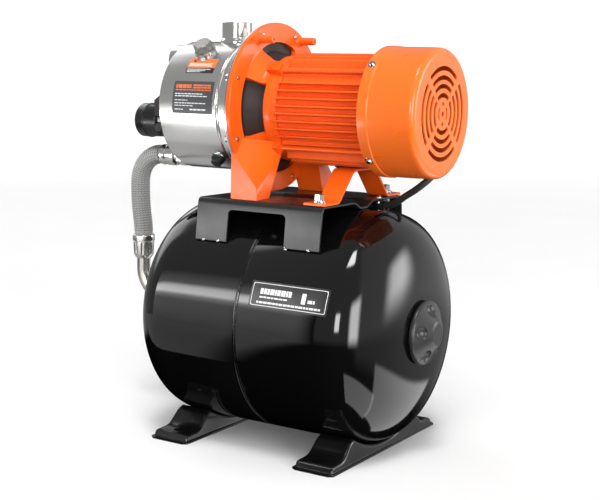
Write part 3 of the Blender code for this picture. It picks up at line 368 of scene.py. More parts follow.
def slab(outline, low, high, turn=None):
    """Flat outline in local X and Y, from local Z low to high."""
    solid = bmesh.new()
    bottom = [solid.verts.new((x, y, low)) for x, y in outline]
    top = [solid.verts.new((x, y, high)) for x, y in outline]
    solid.faces.new(bottom)
    solid.faces.new(top)
    count = len(outline)
    for index in range(count):
        after = (index + 1) % count
        solid.faces.new((bottom[index], bottom[after], top[after], top[index]))
    mesh = mesh_from(solid)
    mesh.transform(turn or Matrix())
    return mesh


def rectangle(x_range, y_range, corner, steps):
    """Outline with four equal round corners."""
    (left, right), (low, high) = x_range, y_range
    return fillet([(left, low), (right, low), (right, high), (left, high)], corner, steps, closed=True)


def hull(points):
    solid = bmesh.new()
    for point in points:
        solid.verts.new(point)
    made = bmesh.ops.convex_hull(solid, input=solid.verts)
    loose = [item for item in made["geom_interior"] if isinstance(item, bmesh.types.BMVert)]
    bmesh.ops.delete(solid, geom=loose, context="VERTS")
    bmesh.ops.dissolve_limit(solid, angle_limit=0.01, verts=solid.verts, edges=solid.edges)
    return mesh_from(solid)


def block(low, high):
    corners = [(x, y, z) for x in (low[0], high[0]) for y in (low[1], high[1])
               for z in (low[2], high[2])]
    return hull(corners)


def along(start, end):
    """Matrix whose local X points from start to end."""
    direction = (Vector(end) - Vector(start)).normalized()
    return Matrix.Translation(start) @ direction.to_track_quat("X", "Z").to_matrix().to_4x4()


def rod(start, end, radius, sides=24, tip=None):
    """Round or many sided bar with small chamfers at both ends."""
    length = (Vector(end) - Vector(start)).length
    edge = min(radius, length) * 0.08
    far = radius if tip is None else tip
    profile = [(0, 0), (0, radius - edge), (edge, radius), (length - edge, far), (length, far - edge),
               (length, 0)]
    mesh = lathe(profile, sides)
    mesh.transform(along(start, end))
    return mesh


def bars(start, way, sections):
    """Rods on one axis: each section is (from, to, radius, sides, tip radius), the last two free."""
    return [rod(start + way * near, start + way * far, *rest) for near, far, *rest in sections]


def catmull(knots, spacing):
    """Points along a smooth curve through the knots."""
    knots = [Vector(knot) for knot in knots]
    padded = [2 * knots[0] - knots[1], *knots, 2 * knots[-1] - knots[-2]]
    route = []
    for before, start, end, after in zip(padded, padded[1:], padded[2:], padded[3:]):
        steps = max(1, round((end - start).length / spacing))
        for step in range(steps):
            t = step / steps
            route.append(0.5 * (2 * start + (end - before) * t
                                + (2 * before - 5 * start + 4 * end - after) * t ** 2
                                + (3 * start - before - 3 * end + after) * t ** 3))
    route.append(knots[-1])
    return route


def frames_along(route):
    """For each point of a route: the point, and two directions across it that don't twist."""
    tangents = []
    for index in range(len(route)):
        before = route[max(index - 1, 0)]
        after = route[min(index + 1, len(route) - 1)]
        tangents.append((after - before).normalized())
    across = tangents[0].orthogonal().normalized()
    frames = []
    for point, tangent in zip(route, tangents):
        across = (across - across.dot(tangent) * tangent).normalized()
        frames.append((point, across, tangent.cross(across)))
    return frames


def tube(route, radius, sides=24):
    rings = []
    for point, first, second in frames_along(route):
        rings.append([point + radius * (math.cos(FULL_TURN * side / sides) * first
                                        + math.sin(FULL_TURN * side / sides) * second)
                      for side in range(sides)])
    return stitch(rings, caps=True)


def combine(meshes):
    """Several meshes as one."""
    solid = bmesh.new()
    for mesh in meshes:
        solid.from_mesh(mesh)
        bpy.data.meshes.remove(mesh)
    return free_into_mesh(solid, "combined")


def boolean(mesh, tool, operation="DIFFERENCE"):
    """New mesh from two closed meshes."""
    body = bpy.data.objects.new("body", mesh)
    cutter = bpy.data.objects.new("cutter", tool)
    for item in (body, cutter):
        bpy.context.scene.collection.objects.link(item)
    modifier = body.modifiers.new("cut", "BOOLEAN")
    modifier.operation = operation
    modifier.object = cutter
    evaluated = body.evaluated_get(bpy.context.evaluated_depsgraph_get())
    result = bpy.data.meshes.new_from_object(evaluated)
    for item in (body, cutter):
        bpy.data.objects.remove(item)
    return result


def soften(piece, width, segments, angle):
    """Rounded edges, so that each edge catches the light."""
    modifier = piece.modifiers.new("soft_edges", "BEVEL")
    modifier.width = width * MM
    modifier.segments = segments
    modifier.limit_method = "ANGLE"
    modifier.angle_limit = math.radians(angle)
    modifier.use_clamp_overlap = True


def add(name, mesh, material, stands_for=(), body=SET, turn=None, sharp=32, soft=None):
    """Finished piece: placed, shaded, painted, riding on its body, and softened.

    soft is (width, segments, angle) of its rounded edges, in millimetres and degrees.
    """
    mesh.transform(TO_WORLD @ (turn or Matrix()))
    mesh.materials.clear()
    mesh.materials.append(material)
    mesh.shade_smooth()
    mesh.set_sharp_from_angle(angle=math.radians(sharp))
    made = bpy.data.objects.new(name, mesh)
    bpy.context.scene.collection.objects.link(made)
    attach(made, body)
    if stands_for:
        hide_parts(*stands_for)
    if soft:
        soften(made, *soft)


def outward(angle):
    """Direction away from the shaft: angle from straight up, towards -Y."""
    return Vector((0, -math.sin(angle), math.cos(angle)))


def polar(radius, angle, x=0):
    """Point beside the shaft."""
    return Vector((x, 0, SHAFT_Z)) + radius * outward(angle)


# ---------------------------------------------------------------- tank

def dome_profile(inset, mouth, steps=26):
    radius = TANK_R - inset
    depth = TANK_END - TANK_STRAIGHT - inset
    power = 2 / DOME_POWER
    last = math.acos((mouth / radius) ** (1 / power))
    return [(TANK_STRAIGHT + depth * math.sin(last * step / steps) ** power,
             radius * math.cos(last * step / steps) ** power) for step in range(steps + 1)]


def make_tank():
    for name, mouth, way in (("tank_shell_pump_end", 40, -1), ("tank_shell_motor_end", 12, 1)):
        boss = mouth + 19
        outer = dome_profile(0, boss)
        inner = dome_profile(1.5, boss)[::-2]
        seam = [(1.4, TANK_R - 1.6), (1.4, TANK_R - 0.9), (1.8, TANK_R - 0.3), (2.6, TANK_R)]
        profile = seam + outer + [(TANK_END, boss - 1), (TANK_END, mouth), (inner[0][0], mouth)] + inner
        shell = lathe([(way * x, radius) for x, radius in profile], 160)
        add(name + "_enamelled", shell, TANK_BLACK, (name,), turn=ON_TANK, sharp=50)

    bead = fillet([(-1.3, TANK_R - 2, 0), (-1.3, TANK_R - 0.3), (1.3, TANK_R - 0.3),
                   (1.3, TANK_R - 2, 0)], 0.6)
    weld = lathe(bead, 720)
    ripple = random.Random(4)
    for vertex in weld.vertices:
        vertex.co.y *= 1 - ripple.uniform(0, 0.0016)
        vertex.co.x += ripple.uniform(-0.12, 0.12)
    add("tank_girth_weld", weld, TANK_BLACK, turn=ON_TANK, sharp=60)

    near = -TANK_END - 0.3
    flange = lathe(fillet([(near, 9.5, 0), (near, 58, 0.6), (near - 4, 58), (near - 4, 17.5),
                           (near - 12, 17), (near - 12, 9.5)], 1.2, closed=True), 72)
    add("tank_counterflange", flange, ZINC, ("tank_flange",), turn=ON_TANK)
    screws = []
    for index in range(6):
        angle = (index + 0.5) * FULL_TURN / 6
        screws += bars(Vector((near, -49 * math.sin(angle), 49 * math.cos(angle))), FRONT,
                       ((3.9, 5, 6.2), (4.9, 8.8, 5.2, 6)))
    add("counterflange_screws", combine(screws), ZINC, turn=ON_TANK)


def make_valve_cover():
    """Cap with a raised middle and five bowls pressed into its sloping face."""
    top = TANK_END + 20
    low = TANK_END + 0.4
    outer = fillet([(low, 37.4), (low + 2, 38.8), (low + 4.3, 38.8), (low + 6.2, 37.6),
                    (top - 1.1, 15.8, 2.4), (top - 0.5, 14), (top, 13.1), (top, 0)], 1.2, 6)
    inner = [(top - 5, 0), (top - 5, 12), (low + 2.8, 33.5), (low, 35)]
    mesh = lathe(outer + inner, 160)
    for index in range(5):
        angle = math.radians(7) + index * FULL_TURN / 5
        bowl = bmesh.new()
        place = Matrix.Translation((top - 1.7, -31.7 * math.sin(angle), 31.7 * math.cos(angle)))
        bmesh.ops.create_icosphere(bowl, subdivisions=5, radius=11.3, matrix=place)
        mesh = boolean(mesh, mesh_from(bowl))
    add("valve_cover_dimpled", mesh, CAP_BLACK, ("valve_cover",), "valve_cover", turn=ON_TANK, sharp=40,
        soft=(0.7, 3, 40))
    valve = lathe(fillet([(TANK_END - 15, 0, 0), (TANK_END - 15, 11.5), (TANK_END - 3.2, 11.5),
                          (TANK_END - 3.2, 4.2), (TANK_END + 4.8, 4), (TANK_END + 4.8, 0, 0)], 0.6), 48)
    add("air_valve_stem", valve, NICKEL, ("air_valve",), turn=ON_TANK)


# ---------------------------------------------------------------- feet and platform

FOOT_MIDDLES = {"tank_foot_pump_end": -103.25, "tank_foot_motor_end": 103.25}
FOOT_HALF_LENGTH = 131.7
FOOT_LIP = (27.85, 2.2)
FOOT_WALL = 25.3
HORN_Y = 74


def foot_height():
    """Height of the pressing's top against y, as a polyline from its end to the horn."""
    return fillet([(FOOT_HALF_LENGTH, FOOT_LIP[1], 0), (126.8, FOOT_LIP[1], 1), (123.6, 9.8, 3.2),
                   (99, 10.6, 10), (81.5, 27.8, 12), (HORN_Y, 30.3, 0)], 3, 8)


def corner_inset(past, run, depth):
    """How far a round corner draws a side in, at a distance past the corner's start."""
    share = min(max(0, past / run), 1)
    return depth * (1 - math.sqrt(1 - share ** 2))


def foot_mesh():
    """Pressed saddle: sections across X, one for each station along Y."""
    saddle = TANK_R + 0.3
    stations = foot_height()
    for step in range(1, 25):
        y = HORN_Y * (1 - step / 24)
        stations.append((y, TANK_Z - math.sqrt(saddle ** 2 - y ** 2)))
    stations += [(-y, z) for y, z in stations[-2::-1]]
    rings = []
    for y, top in stations:
        wall = FOOT_WALL - corner_inset(abs(y) - 122.5, 4, 3)
        lip = FOOT_LIP[0] - corner_inset(abs(y) - FOOT_HALF_LENGTH + 6, 6, 6)
        lip = max(lip, wall - 3)
        lip_z = FOOT_LIP[1]
        shoulder = wall * (1 - 0.10 * top / 30)
        rise = max(top - lip_z, 0.01)
        half = fillet([(lip, 0, 0), (lip, lip_z, 0.8), (wall, lip_z + rise * 0.02, 1.8),
                       (shoulder, top, 4.5), (0, top, 0)], 1, 6)
        half = [(x, max(z, 0)) for x, z in half]
        ring = [(x, y, z) for x, z in half] + [(-x, y, z) for x, z in half[-2::-1]]
        rings.append(ring)
    return stitch(rings, caps=True)


def make_feet():
    for name, middle in FOOT_MIDDLES.items():
        mesh = foot_mesh()
        for side in (-1, 1):
            mesh = boolean(mesh, rod((0, side * 112, -10), (0, side * 112, 30), 4.5, 32))
        mesh.transform(Matrix.Translation((middle, 0, 0)))
        add(name + "_pressed", mesh, FOOT_BLACK, (name,), sharp=40)


def ribbon(path, thickness):
    """Outline of a bent sheet: the path, and the same path moved out by its thickness."""
    points = [Vector(point) for point in path]
    offset = []
    for index, point in enumerate(points):
        before = (point - points[index - 1]).normalized() if index else None
        after = (points[index + 1] - point).normalized() if index < len(points) - 1 else None
        before = before or after
        after = after or before
        normal = Vector((-before.y - after.y, before.x + after.x)).normalized()
        stretch = max(0.3, normal.dot(Vector((-after.y, after.x))))
        offset.append(tuple(point + normal * thickness / stretch))
    return [tuple(point) for point in points] + offset[::-1]


def make_platform():
    """Bent sheet with a channel, skirts with soft bends, and a window in each skirt."""
    sheet = 2.5
    under = PLATFORM_TOP - sheet
    half = [(8.5, PLATFORM_TOP - 7 - sheet, 3), (21.5, under, 4), (94.5, under, 4.5), (99.7, 249, 0)]
    path = [(-y, z, r) for y, z, r in half[::-1]] + half
    outline = ribbon(fillet(path, 4, 7), sheet)
    mesh = slab(outline, -85, 90, ACROSS_X)
    window = fillet([(-39.5, 287.5), (41.3, 287.5), (41.3, 230, 0), (-39.5, 230, 0)], 6.5, 8,
                    closed=True)
    mesh = boolean(mesh, slab(window, -130, 130, UPRIGHT))
    add("platform_folded", mesh, PLATFORM_BLACK, ("platform",), sharp=40, soft=(0.5, 2, 50))
    make_spatter()


def make_spatter():
    """Spot welds at the bottom of each skirt leg: a bright bead with a ring of smaller ones."""
    drops = random.Random(11)
    beads = []
    for side in (-1, 1):
        for x in (-73, -52, 44, 74.5):
            for spread_x, size in ((0.0, 1.7), (1.4, 1), (-1.2, 0.9), (0.4, 1.1)):
                z = 249.4 + drops.uniform(-1.6, 1.6)
                bead = bmesh.new()
                place = Matrix.Translation((x + spread_x, side * 101.9, z))
                bmesh.ops.create_icosphere(bead, subdivisions=3, radius=size, matrix=place)
                mesh = mesh_from(bead)
                for vertex in mesh.vertices:
                    vertex.co.z += drops.uniform(-0.1, 0.1)
                beads.append(mesh)
    add("platform_weld_beads", combine(beads), ZINC, sharp=80)


# ---------------------------------------------------------------- motor

def bracket_leg(side):
    """Leg between the disc, the hub and the platform; make_bracket adds the small pad on its toe."""
    floor = PLATFORM_TOP + 0.3
    corners = [(-42, 90, floor), (-42, 62, floor), (-6, 90, floor), (-6, 62, floor), (-6, 90, 315),
               (-6, 64, 317), (-42, 90, 355.5), (-36, 90, 350), (-42, 38, 351), (-3, 40, 355),
               (-10, 50, 368), (-36, 75, 372)]
    return hull([(x, side * y, z) for x, y, z in corners])


def bracket_pad(angle):
    """Wedge that a tie rod is screwed into: its tip dies away into the cone."""
    aside = Vector((0, math.cos(angle), math.sin(angle)))
    corners = []
    for x, near, far, half in ((-0.5, 57.5, 70.5, 5.6), (-12, 57.5, 71.2, 5.6), (-23.5, 60, 65.5, 1.2)):
        for radius in (near, far):
            for way in (-1, 1):
                corners.append(polar(radius, angle, x) + aside * way * half)
    return hull(corners)


def sector(inner, outer, middle, half_angle, corner=0.0, steps=14):
    """Ring sector in a plane, angles from local X towards Y."""
    points = []
    for radius, order in ((inner, 1), (outer, -1)):
        for step in range(steps + 1):
            angle = middle + order * half_angle * (2 * step / steps - 1)
            ends = corner if step in (0, steps) else 0
            points.append((radius * math.cos(angle), radius * math.sin(angle), ends))
    return fillet(points, 0, 4, closed=True)


def make_bracket():
    profile = fillet([(-42, 70, 0), (-42, DISC_R, 1.2), (-36, DISC_R, 1.4), (-36, 78.5, 3.5),
                      (-21.5, 64, 4.5), (-10, 63.6, 3), (0, 60.5, 0.6), (0, 23.5, 0), (-2.5, 23.5, 0),
                      (-2.5, 17.8, 0), (-18, 17.8, 0), (-18, 23.5, 0), (-8.5, 26, 0), (-8.5, 56, 0),
                      (-21, 57, 0), (-36, 70, 0)], 1, 6, closed=True)
    mesh = lathe(profile, 128)
    for index in range(4):
        window = sector(50, 80, math.pi / 2 - index * FULL_TURN / 4, math.radians(28), 2.2)
        mesh = boolean(mesh, slab(window, -45, -15.5, ACROSS_X))
    mesh.transform(ON_SHAFT)
    for side in (-1, 1):
        post, foot, hole = bars(polar(SCREW_CIRCLE, side * math.radians(29.3)), BACK,
                                ((-40, -13, 5.2, 32, 4.6), (-37, -33.5, 8.2, 32, 5.6),
                                 (-17, -12, 1.6, 16)))
        mesh = boolean(boolean(boolean(mesh, post, "UNION"), foot, "UNION"), hole)
    for angle in CORNERS:
        mesh = boolean(mesh, bracket_pad(angle), "UNION")
    parts = [mesh]
    for side in (-1, 1):
        parts.append(bracket_leg(side))
        parts.append(block((-25, side * 91.5, PLATFORM_TOP + 0.3), (-4, side * 79, PLATFORM_TOP + 7.5)))
    mesh = combine(parts)
    add("motor_bracket_cast", mesh, ORANGE, ("motor_bracket",), sharp=32, soft=(0.6, 2, 40))
    # Dark liner just inside the cone's windows: a sheet of painted shade where the seal chamber lies in
    # shadow.
    liner = lathe([(-41.7, 69), (-41.7, 81.5), (-41, 81.5), (-40.5, 69), (-21.5, 56.2), (-12, 55.5),
                   (-12, 54), (-22, 54.5), (-40.5, 67.5)], 96)
    add("bracket_painted_shade_liner", liner, PAINTED_SHADE, turn=ON_SHAFT)
    bolts = []
    under = PLATFORM_TOP - 2.8
    for side in (-1, 1):
        bolts += bars(Vector((-22, side * 76, under)), UP,
                      ((-1, 0, 9, 32), (-5, -0.9, 6.6, 6), (-2, 311 - under, 2.9, 16)))
    add("bracket_foot_screws", combine(bolts), ZINC,
        ("bracket_foot_bolt_front", "bracket_foot_bolt_back"))


def housing_outline():
    """Finned section: eight parallel fins on each side, with round tips and roots."""
    half = 1.1
    quarter = []
    for index in range(8):
        across = (index - 3.5) * FIN_PITCH
        for edge, radius, corner in ((-1, FIN_ROOT, 1.2), (-1, FIN_TIP, 0.9), (1, FIN_TIP, 0.9),
                                     (1, FIN_ROOT, 1.2)):
            side = across + edge * (half if radius == FIN_TIP else half + 0.4)
            quarter.append((math.sqrt(radius ** 2 - side ** 2), side, corner))
    for angle, radius in ((40, FIN_ROOT), (41.5, 62.5), (44, 61.2), (46, 61.2), (48.5, 62.5),
                          (50, FIN_ROOT)):
        turn = math.radians(angle)
        quarter.append((radius * math.cos(turn), radius * math.sin(turn), 1))
    outline = []
    for index in range(4):
        turn = Matrix.Rotation(index * FULL_TURN / 4, 2)
        outline += [(*(turn @ Vector(point[:2])), point[2]) for point in quarter]
    return fillet(outline, 1, 4, closed=True)


def make_motor():
    mesh = slab(housing_outline(), *HOUSING_X, ACROSS_X)
    mesh = boolean(mesh, rod((HOUSING_X[0] - 10, 0, 0), (HOUSING_X[1] + 10, 0, 0), 55.5, 96))
    add("motor_housing_finned", mesh, FIN_ORANGE, ("motor_housing",), turn=ON_SHAFT, sharp=40,
        soft=(0.5, 2, 60))
    rods = []
    for angle in CORNERS:
        rods += bars(polar(ROD_CIRCLE, angle), BACK, ((-0.6, 118.2, 2.8, 32), (-0.3, 2, 4, 6)))
    add("tie_rods_painted", combine(rods), ORANGE, ("tie_rod_1", "tie_rod_2", "tie_rod_3", "tie_rod_4"))
    make_fan_cover()
    make_motor_foot()


def make_fan_cover():
    """Drawn cover: rolled bead, soft shoulder, and arcs of slots in its face."""
    start, end = COVER_X
    radius = COVER_R
    outer = fillet([(start, radius - 0.4, 0), (start + 0.4, radius, 0.3), (130.6, radius, 0.8),
                    (131.6, radius - 1, 1), (end, radius - 1.4, 8.5), (end, 0, 0)], 1, 9)
    inner = fillet([(end - 1.8, 0, 0), (end - 1.8, radius - 3.4, 7), (start, radius - 2.4, 0)], 1, 6)
    mesh = lathe(outer + inner, 144)
    through = (end - 6, end + 6)
    for index in range(4):
        middle = index * FULL_TURN / 4
        for slot_radius in (54.5, 44, 34.3, 24):
            shape = sector(slot_radius - 5.3, slot_radius, middle, math.radians(40), 1.4)
            mesh = boolean(mesh, slab(shape, *through, ACROSS_X))
        if index % 2:
            spot = Vector((0, 11.5 * math.cos(middle), 11.5 * math.sin(middle)))
            (cut,) = bars(spot, BACK, ((*through, 2.6, 24),))
        else:
            cut = slab(sector(9, 12.5, middle, math.radians(38), 1), *through, ACROSS_X)
        mesh = boolean(mesh, cut)
    mesh = boolean(mesh, rod((through[0], 0, 0), (through[1], 0, 0), 3, 24))
    add("fan_cover_drawn", mesh, COVER_ORANGE, ("fan_cover",), turn=ON_SHAFT, sharp=38, soft=(0.4, 2, 50))

    screws = []
    for angle in CORNERS:
        washer, head = bars(polar(0, angle, 124.7), outward(angle),
                            ((radius - 0.6, radius + 0.7, 5, 32),
                             (radius + 0.5, radius + 3, 3.6, 32, 2.8)))
        (slot,) = bars(polar(radius + 2.2, angle, 124.7), BACK, ((-5, 5, 0.6, 4),))
        screws += [washer, boolean(head, slot)]
    add("fan_cover_screws", combine(screws), ZINC)


def make_motor_foot():
    """Strap bent up under the housing, with its bolts through both pads."""
    floor = PLATFORM_TOP + 0.3
    top = SHAFT_Z - FIN_TIP - 3.3
    half = [(25.5, top, 6), (59, floor, 5), (93.5, floor, 0)]
    path = [(-y, z, r) for y, z, r in half[::-1]] + half
    mesh = slab(ribbon(fillet(path, 5, 6), 3), 62, 90, ACROSS_X)
    add("motor_foot_strap", mesh, ORANGE, ("motor_foot",), sharp=40, soft=(0.5, 2, 50))
    bolts = []
    for side in (-1, 1):
        bolts += bars(Vector((75.5, side * 80, floor + 3.3)), UP,
                      ((0, 1.4, 8.3, 40), (1.3, 2.4, 6.8, 40), (2.2, 9.5, 6, 6, 5.7),
                       (-11.4, -6.4, 6, 6)))
    add("motor_foot_screws", combine(bolts), ZINC, ("motor_foot_bolt_front", "motor_foot_bolt_back"))


# ---------------------------------------------------------------- pump

def make_casing():
    face = CASING_FACE
    radius = CASING_R
    outer = fillet([(face, 0, 0), (face, radius - 1, 6.2), (face + 0.8, radius, 5), (-74.2, radius, 1),
                    (-72.4, radius - 1.8, 1), (-70, radius + 1.4, 1.4), (-67.8, radius + 3, 1.6),
                    (-56, radius + 3, 1.6), (-53, radius + 4.2, 2), (-47.5, radius + 5, 2.8),
                    (-46.2, 101, 0.6), (-44.5, 101, 0.6)], 1, 7)
    inner = [(-44.5, radius + 2.2), (-56, radius + 1), (-68, radius + 0.8), (-72.5, radius - 3.6),
             (-74.5, radius - 2.2), (face + 6.8, radius - 2.2), (face + 2, radius - 7), (face + 2, 0)]
    mesh = lathe(outer + inner, 192)
    mesh.transform(ON_SHAFT)
    mesh = boolean(mesh, rod((face - 10, 0, SUCTION_Z), (face + 10, 0, SUCTION_Z), 15, 64))
    mesh = boolean(mesh, rod((DISCHARGE_X, 0, SHAFT_Z + 60), (DISCHARGE_X, 0, SHAFT_Z + 90), 15, 64))
    add("pump_casing_drawn", mesh, CASING_STEEL, ("pump_casing",), sharp=38)
    plate = lathe(fillet([(-44.2, 12.2, 0), (-44.2, 101), (-42.3, 101), (-42.3, 12.2, 0)], 0.4,
                         closed=True), 128)
    add("seal_plate_turned", plate, CASING_STEEL, ("seal_plate",), turn=ON_SHAFT)
    make_casing_bolts()
    make_ports()
    make_plugs()
    make_labels()


def make_casing_bolts():
    """Domed heads on the casing's flange, and the screws' ends in the bracket's disc."""
    heads = []
    ends = []
    for index in range(8):
        spot = polar(SCREW_CIRCLE, math.radians(22.5 + 45 * index))
        heads += bars(spot, BACK, ((-46.2, -47.5, 5.6, 32), (-47.4, -52.5, 4.4, 6, 4.1)))
        end, socket = bars(spot, BACK, ((-36.5, -34.5, 2.9, 24), (-35.5, -33.5, 1.3, 6)))
        ends.append(boolean(end, socket))
    add("casing_bolt_heads", combine(heads), ZINC)
    add("casing_screw_ends", combine(ends), ZINC)


def make_ports():
    face = CASING_FACE
    suction = lathe(fillet([(face - 0.3, 15, 0), (face - 0.3, 21.4, 0.8), (face - 2.8, 19.7, 1.8),
                            (face - 33, 19, 0.8), (face - 33, 15.8, 0.6), (face - 31, 15, 0)], 0.8, 5,
                           closed=True), 96)
    add("suction_port_turned", suction, CASING_STEEL, ("suction_port",), turn=ON_SUCTION)

    saddle = SHAFT_Z + CASING_R
    profile = fillet([(saddle - 6.5, 15, 0), (saddle - 6.5, 20.8, 0), (saddle + 1.2, 20.2, 2.2),
                      (saddle + 4, 18.5, 3), (DISCHARGE_TOP, 18.5, 0.9), (DISCHARGE_TOP, 16, 0.6),
                      (DISCHARGE_TOP - 1.6, 15, 0)], 0.8, 6, closed=True)
    port = lathe([(x, radius) for x, radius in profile], 96)
    port.transform(ON_DISCHARGE)
    body = rod((-150, 0, SHAFT_Z), (-50, 0, SHAFT_Z), CASING_R + 0.1, 192)
    port = boolean(port, body)
    add("discharge_port_turned", port, PORT_STEEL, ("discharge_port",), sharp=38)
    threads = []
    for start, end, place in ((face - 30, face - 10, ON_SUCTION),
                              (saddle + 2, DISCHARGE_TOP - 2, ON_DISCHARGE)):
        for index in range(round((end - start) / THREAD_PITCH)):
            x = start + THREAD_PITCH * index
            ring = lathe([(x, 15.2), (x + 1.1, 14.3), (x + 2.2, 15.2)], 64)
            ring.transform(place)
            threads.append(ring)
    add("port_threads", combine(threads), PORT_STEEL)


def make_plugs():
    """Priming plug with a cast hexagon, drain plug in black plastic, and their bosses."""
    tilt = math.radians(37.5)
    drain = math.radians(140.5)
    bosses = (bars(polar(CASING_R, tilt, -110), outward(tilt), ((-1.5, 4, 13, 48, 12.2),))
              + bars(polar(CASING_R, drain, -88), outward(drain), ((-1.5, 1, 9.2, 40, 8.8),)))
    add("plug_bosses", combine(bosses), CASING_STEEL)

    plug = combine(bars(polar(CASING_R + 4.3, tilt, -110), outward(tilt),
                        ((0, 2.6, 13.4, 48), (2.2, 13, 12.2, 6, 11.6), (-12, 0, 8, 32))))
    knobs = random.Random(7)
    for vertex in plug.vertices:
        vertex.co += Vector([knobs.uniform(-0.12, 0.12) for _ in range(3)])
    add("priming_plug_cast", plug, CAST_STEEL, ("priming_plug",), "priming_plug", soft=(0.9, 3, 30))

    plug = combine(bars(polar(CASING_R + 1.3, drain, -88), outward(drain),
                        ((0, 3.2, 8.6, 40), (2.8, 9, 7.4, 12, 6.8), (-12, 0, 4, 24))))
    add("drain_plug_moulded", plug, SWITCH_BLACK, ("drain_plug",), "drain_plug")


def dome_drop(x):
    """How far the tank's surface lies inside its full radius, at x."""
    share = max(0.0, x - TANK_STRAIGHT) / (TANK_END - TANK_STRAIGHT)
    return TANK_R * (1 - (1 - share ** DOME_POWER) ** (1 / DOME_POWER))


def curved_patch(radius, x_range, angles, centre_z, corner=0.0, thickness=0.12, bow=10):
    """Thin patch that lies round a cylinder along X; angles in degrees from up towards -Y."""
    start, end = (math.radians(angle) * radius for angle in angles)
    solid = bmesh.new()
    solid.faces.new([solid.verts.new((x, y, 0)) for x,
                     y in rectangle(x_range, (start, end), corner, 5)])

    def crease(place, normal):
        bmesh.ops.bisect_plane(solid, geom=solid.verts[:] + solid.edges[:] + solid.faces[:],
                               plane_co=place, plane_no=normal)

    for index in range(1, bow):
        crease((0, start + (end - start) * index / bow, 0), (0, 1, 0))
    steps = math.ceil((x_range[1] - max(x_range[0], TANK_STRAIGHT)) / 4)
    for index in range(max(0, steps)):
        crease((x_range[1] - 4 * (index + 0.5), 0, 0), (1, 0, 0))
    made = bmesh.ops.extrude_face_region(solid, geom=solid.faces[:])
    for item in made["geom"]:
        if isinstance(item, bmesh.types.BMVert):
            item.co.z = thickness
    for vertex in solid.verts:
        angle = vertex.co.y / radius
        reach = radius + vertex.co.z - dome_drop(vertex.co.x)
        vertex.co = Vector((vertex.co.x, -reach * math.sin(angle), centre_z + reach * math.cos(angle)))
    return mesh_from(solid)


def print_rows(radius, centre_z, seed, x_range, rows):
    """Rows of short bars in place of words: each row is (angle, height, share of the width)."""
    pick = random.Random(seed)
    bars_made = []
    for angle, height, share in rows:
        x = x_range[0]
        last = x_range[0] + (x_range[1] - x_range[0]) * share
        while x < last - 2:
            length = min(pick.uniform(2.2, 6.2), last - x)
            bars_made.append(curved_patch(radius, (x, x + length),
                                          (angle - height / 2, angle + height / 2), centre_z, 0,
                                          PRINT_THICKNESS, 1))
            x += length + 0.9
    return combine(bars_made)


PRINT_THICKNESS = 0.04
PUMP_LABEL = (CASING_R + 0.05, SHAFT_Z)
TANK_LABEL = (TANK_R + 0.05, TANK_Z)
# grounds: piece, material, X range, angles, corner radius
# prints: piece, material, then blocks of rows: seed, X range, rows of (angle, height, share)
RATING_GROUNDS = (("rating_label", LABEL_GREY, (-138.7, -78.4), (67.7, 96.2), 1.5),)
NOTICE_GROUNDS = (
    ("notice_label_lower", LABEL_BLACK, (-127.5, -86), (54.3, 59.6), 0.6),
    ("notice_label_upper", LABEL_ORANGE, (-127.5, -86), (44, 54.3), 0.6),
)
RATING_PRINTS = (
    ("rating_label_orange_print", LABEL_ORANGE, (
        (1, (-135, -112), [(72.3, 3.2, 1)]),
        (2, (-109, -82), [(71.3, 1.5, 1), (73.4, 1.3, 1)]),
        (12, (-135, -82), [(75.6, 0.9, 1)]))),
    ("rating_label_white_print", LABEL_WHITE, (
        (3, (-135, -82), [(79, 0.8, 0.80), (81, 0.8, 0.92), (84.6, 0.7, 0.38), (87.1, 0.8, 0.88),
                          (89.3, 0.7, 0.52), (92.6, 0.8, 0.26)]),
        (5, (-112, -88), [(92.6, 1.3, 1)]))),
)
NOTICE_PRINTS = (
    ("notice_label_white_print", LABEL_WHITE, (
        (6, (-125.5, -88), [(49.6, 0.7, 0.94), (50.9, 0.7, 0.90), (52.2, 0.7, 0.97)]),
        (8, (-125.5, -88), [(55.8, 0.7, 0.92), (57.2, 0.6, 0.72), (58.5, 0.6, 0.60)]))),
)
TANK_PRINT = ((9, (30, 72), [(68.1, 2.7, 1)]), (10, (30, 72), [(70.9, 0.7, 0.94)]),
              (14, (27, 112), [(73.4, 0.9, 1)]), (15, (94.5, 105), [(70.4, 1.5, 1)]),)


def make_labels():
    """Plain blocks of colour with generic bars, where the printed labels are."""
    radius, centre_z = PUMP_LABEL
    raised = radius + 0.13
    for grounds, prints in ((RATING_GROUNDS, RATING_PRINTS), (NOTICE_GROUNDS, NOTICE_PRINTS)):
        for name, material, x_range, angles, corner in grounds:
            add(name, curved_patch(radius, x_range, angles, centre_z, corner), material)
        for name, material, blocks in prints:
            add(name, combine([print_rows(raised, centre_z, *block) for block in blocks]), material)
    mark = curved_patch(raised, (-121.5, -118), (45.6, 48), centre_z, 0.6, PRINT_THICKNESS)
    add("notice_label_mark", mark, LABEL_BLACK)

    radius, centre_z = TANK_LABEL
    (left, right), (top, bottom) = (16.8, 120.5), (63.3, 76)
    ground = curved_patch(radius, (left, right), (top, bottom), centre_z, 1, 0.15)
    add("tank_label", ground, LABEL_BLACK)
    raised = radius + 0.16
    border = curved_patch(raised, (left + 2.2, right - 2.2), (top + 0.9, bottom - 0.9), centre_z, 2.2)
    hole = curved_patch(radius - 1, (left + 2.9, right - 2.9), (top + 1.2, bottom - 1.2), centre_z, 1.8,
                        4)
    size = curved_patch(raised, (86, 91.5), (66.8, 71.8), centre_z, 0.8, PRINT_THICKNESS)
    words = [print_rows(raised, centre_z, *block) for block in TANK_PRINT]
    add("tank_label_white_print", combine([boolean(border, hole), *words, size]), LABEL_WHITE)


# ---------------------------------------------------------------- hose and controls

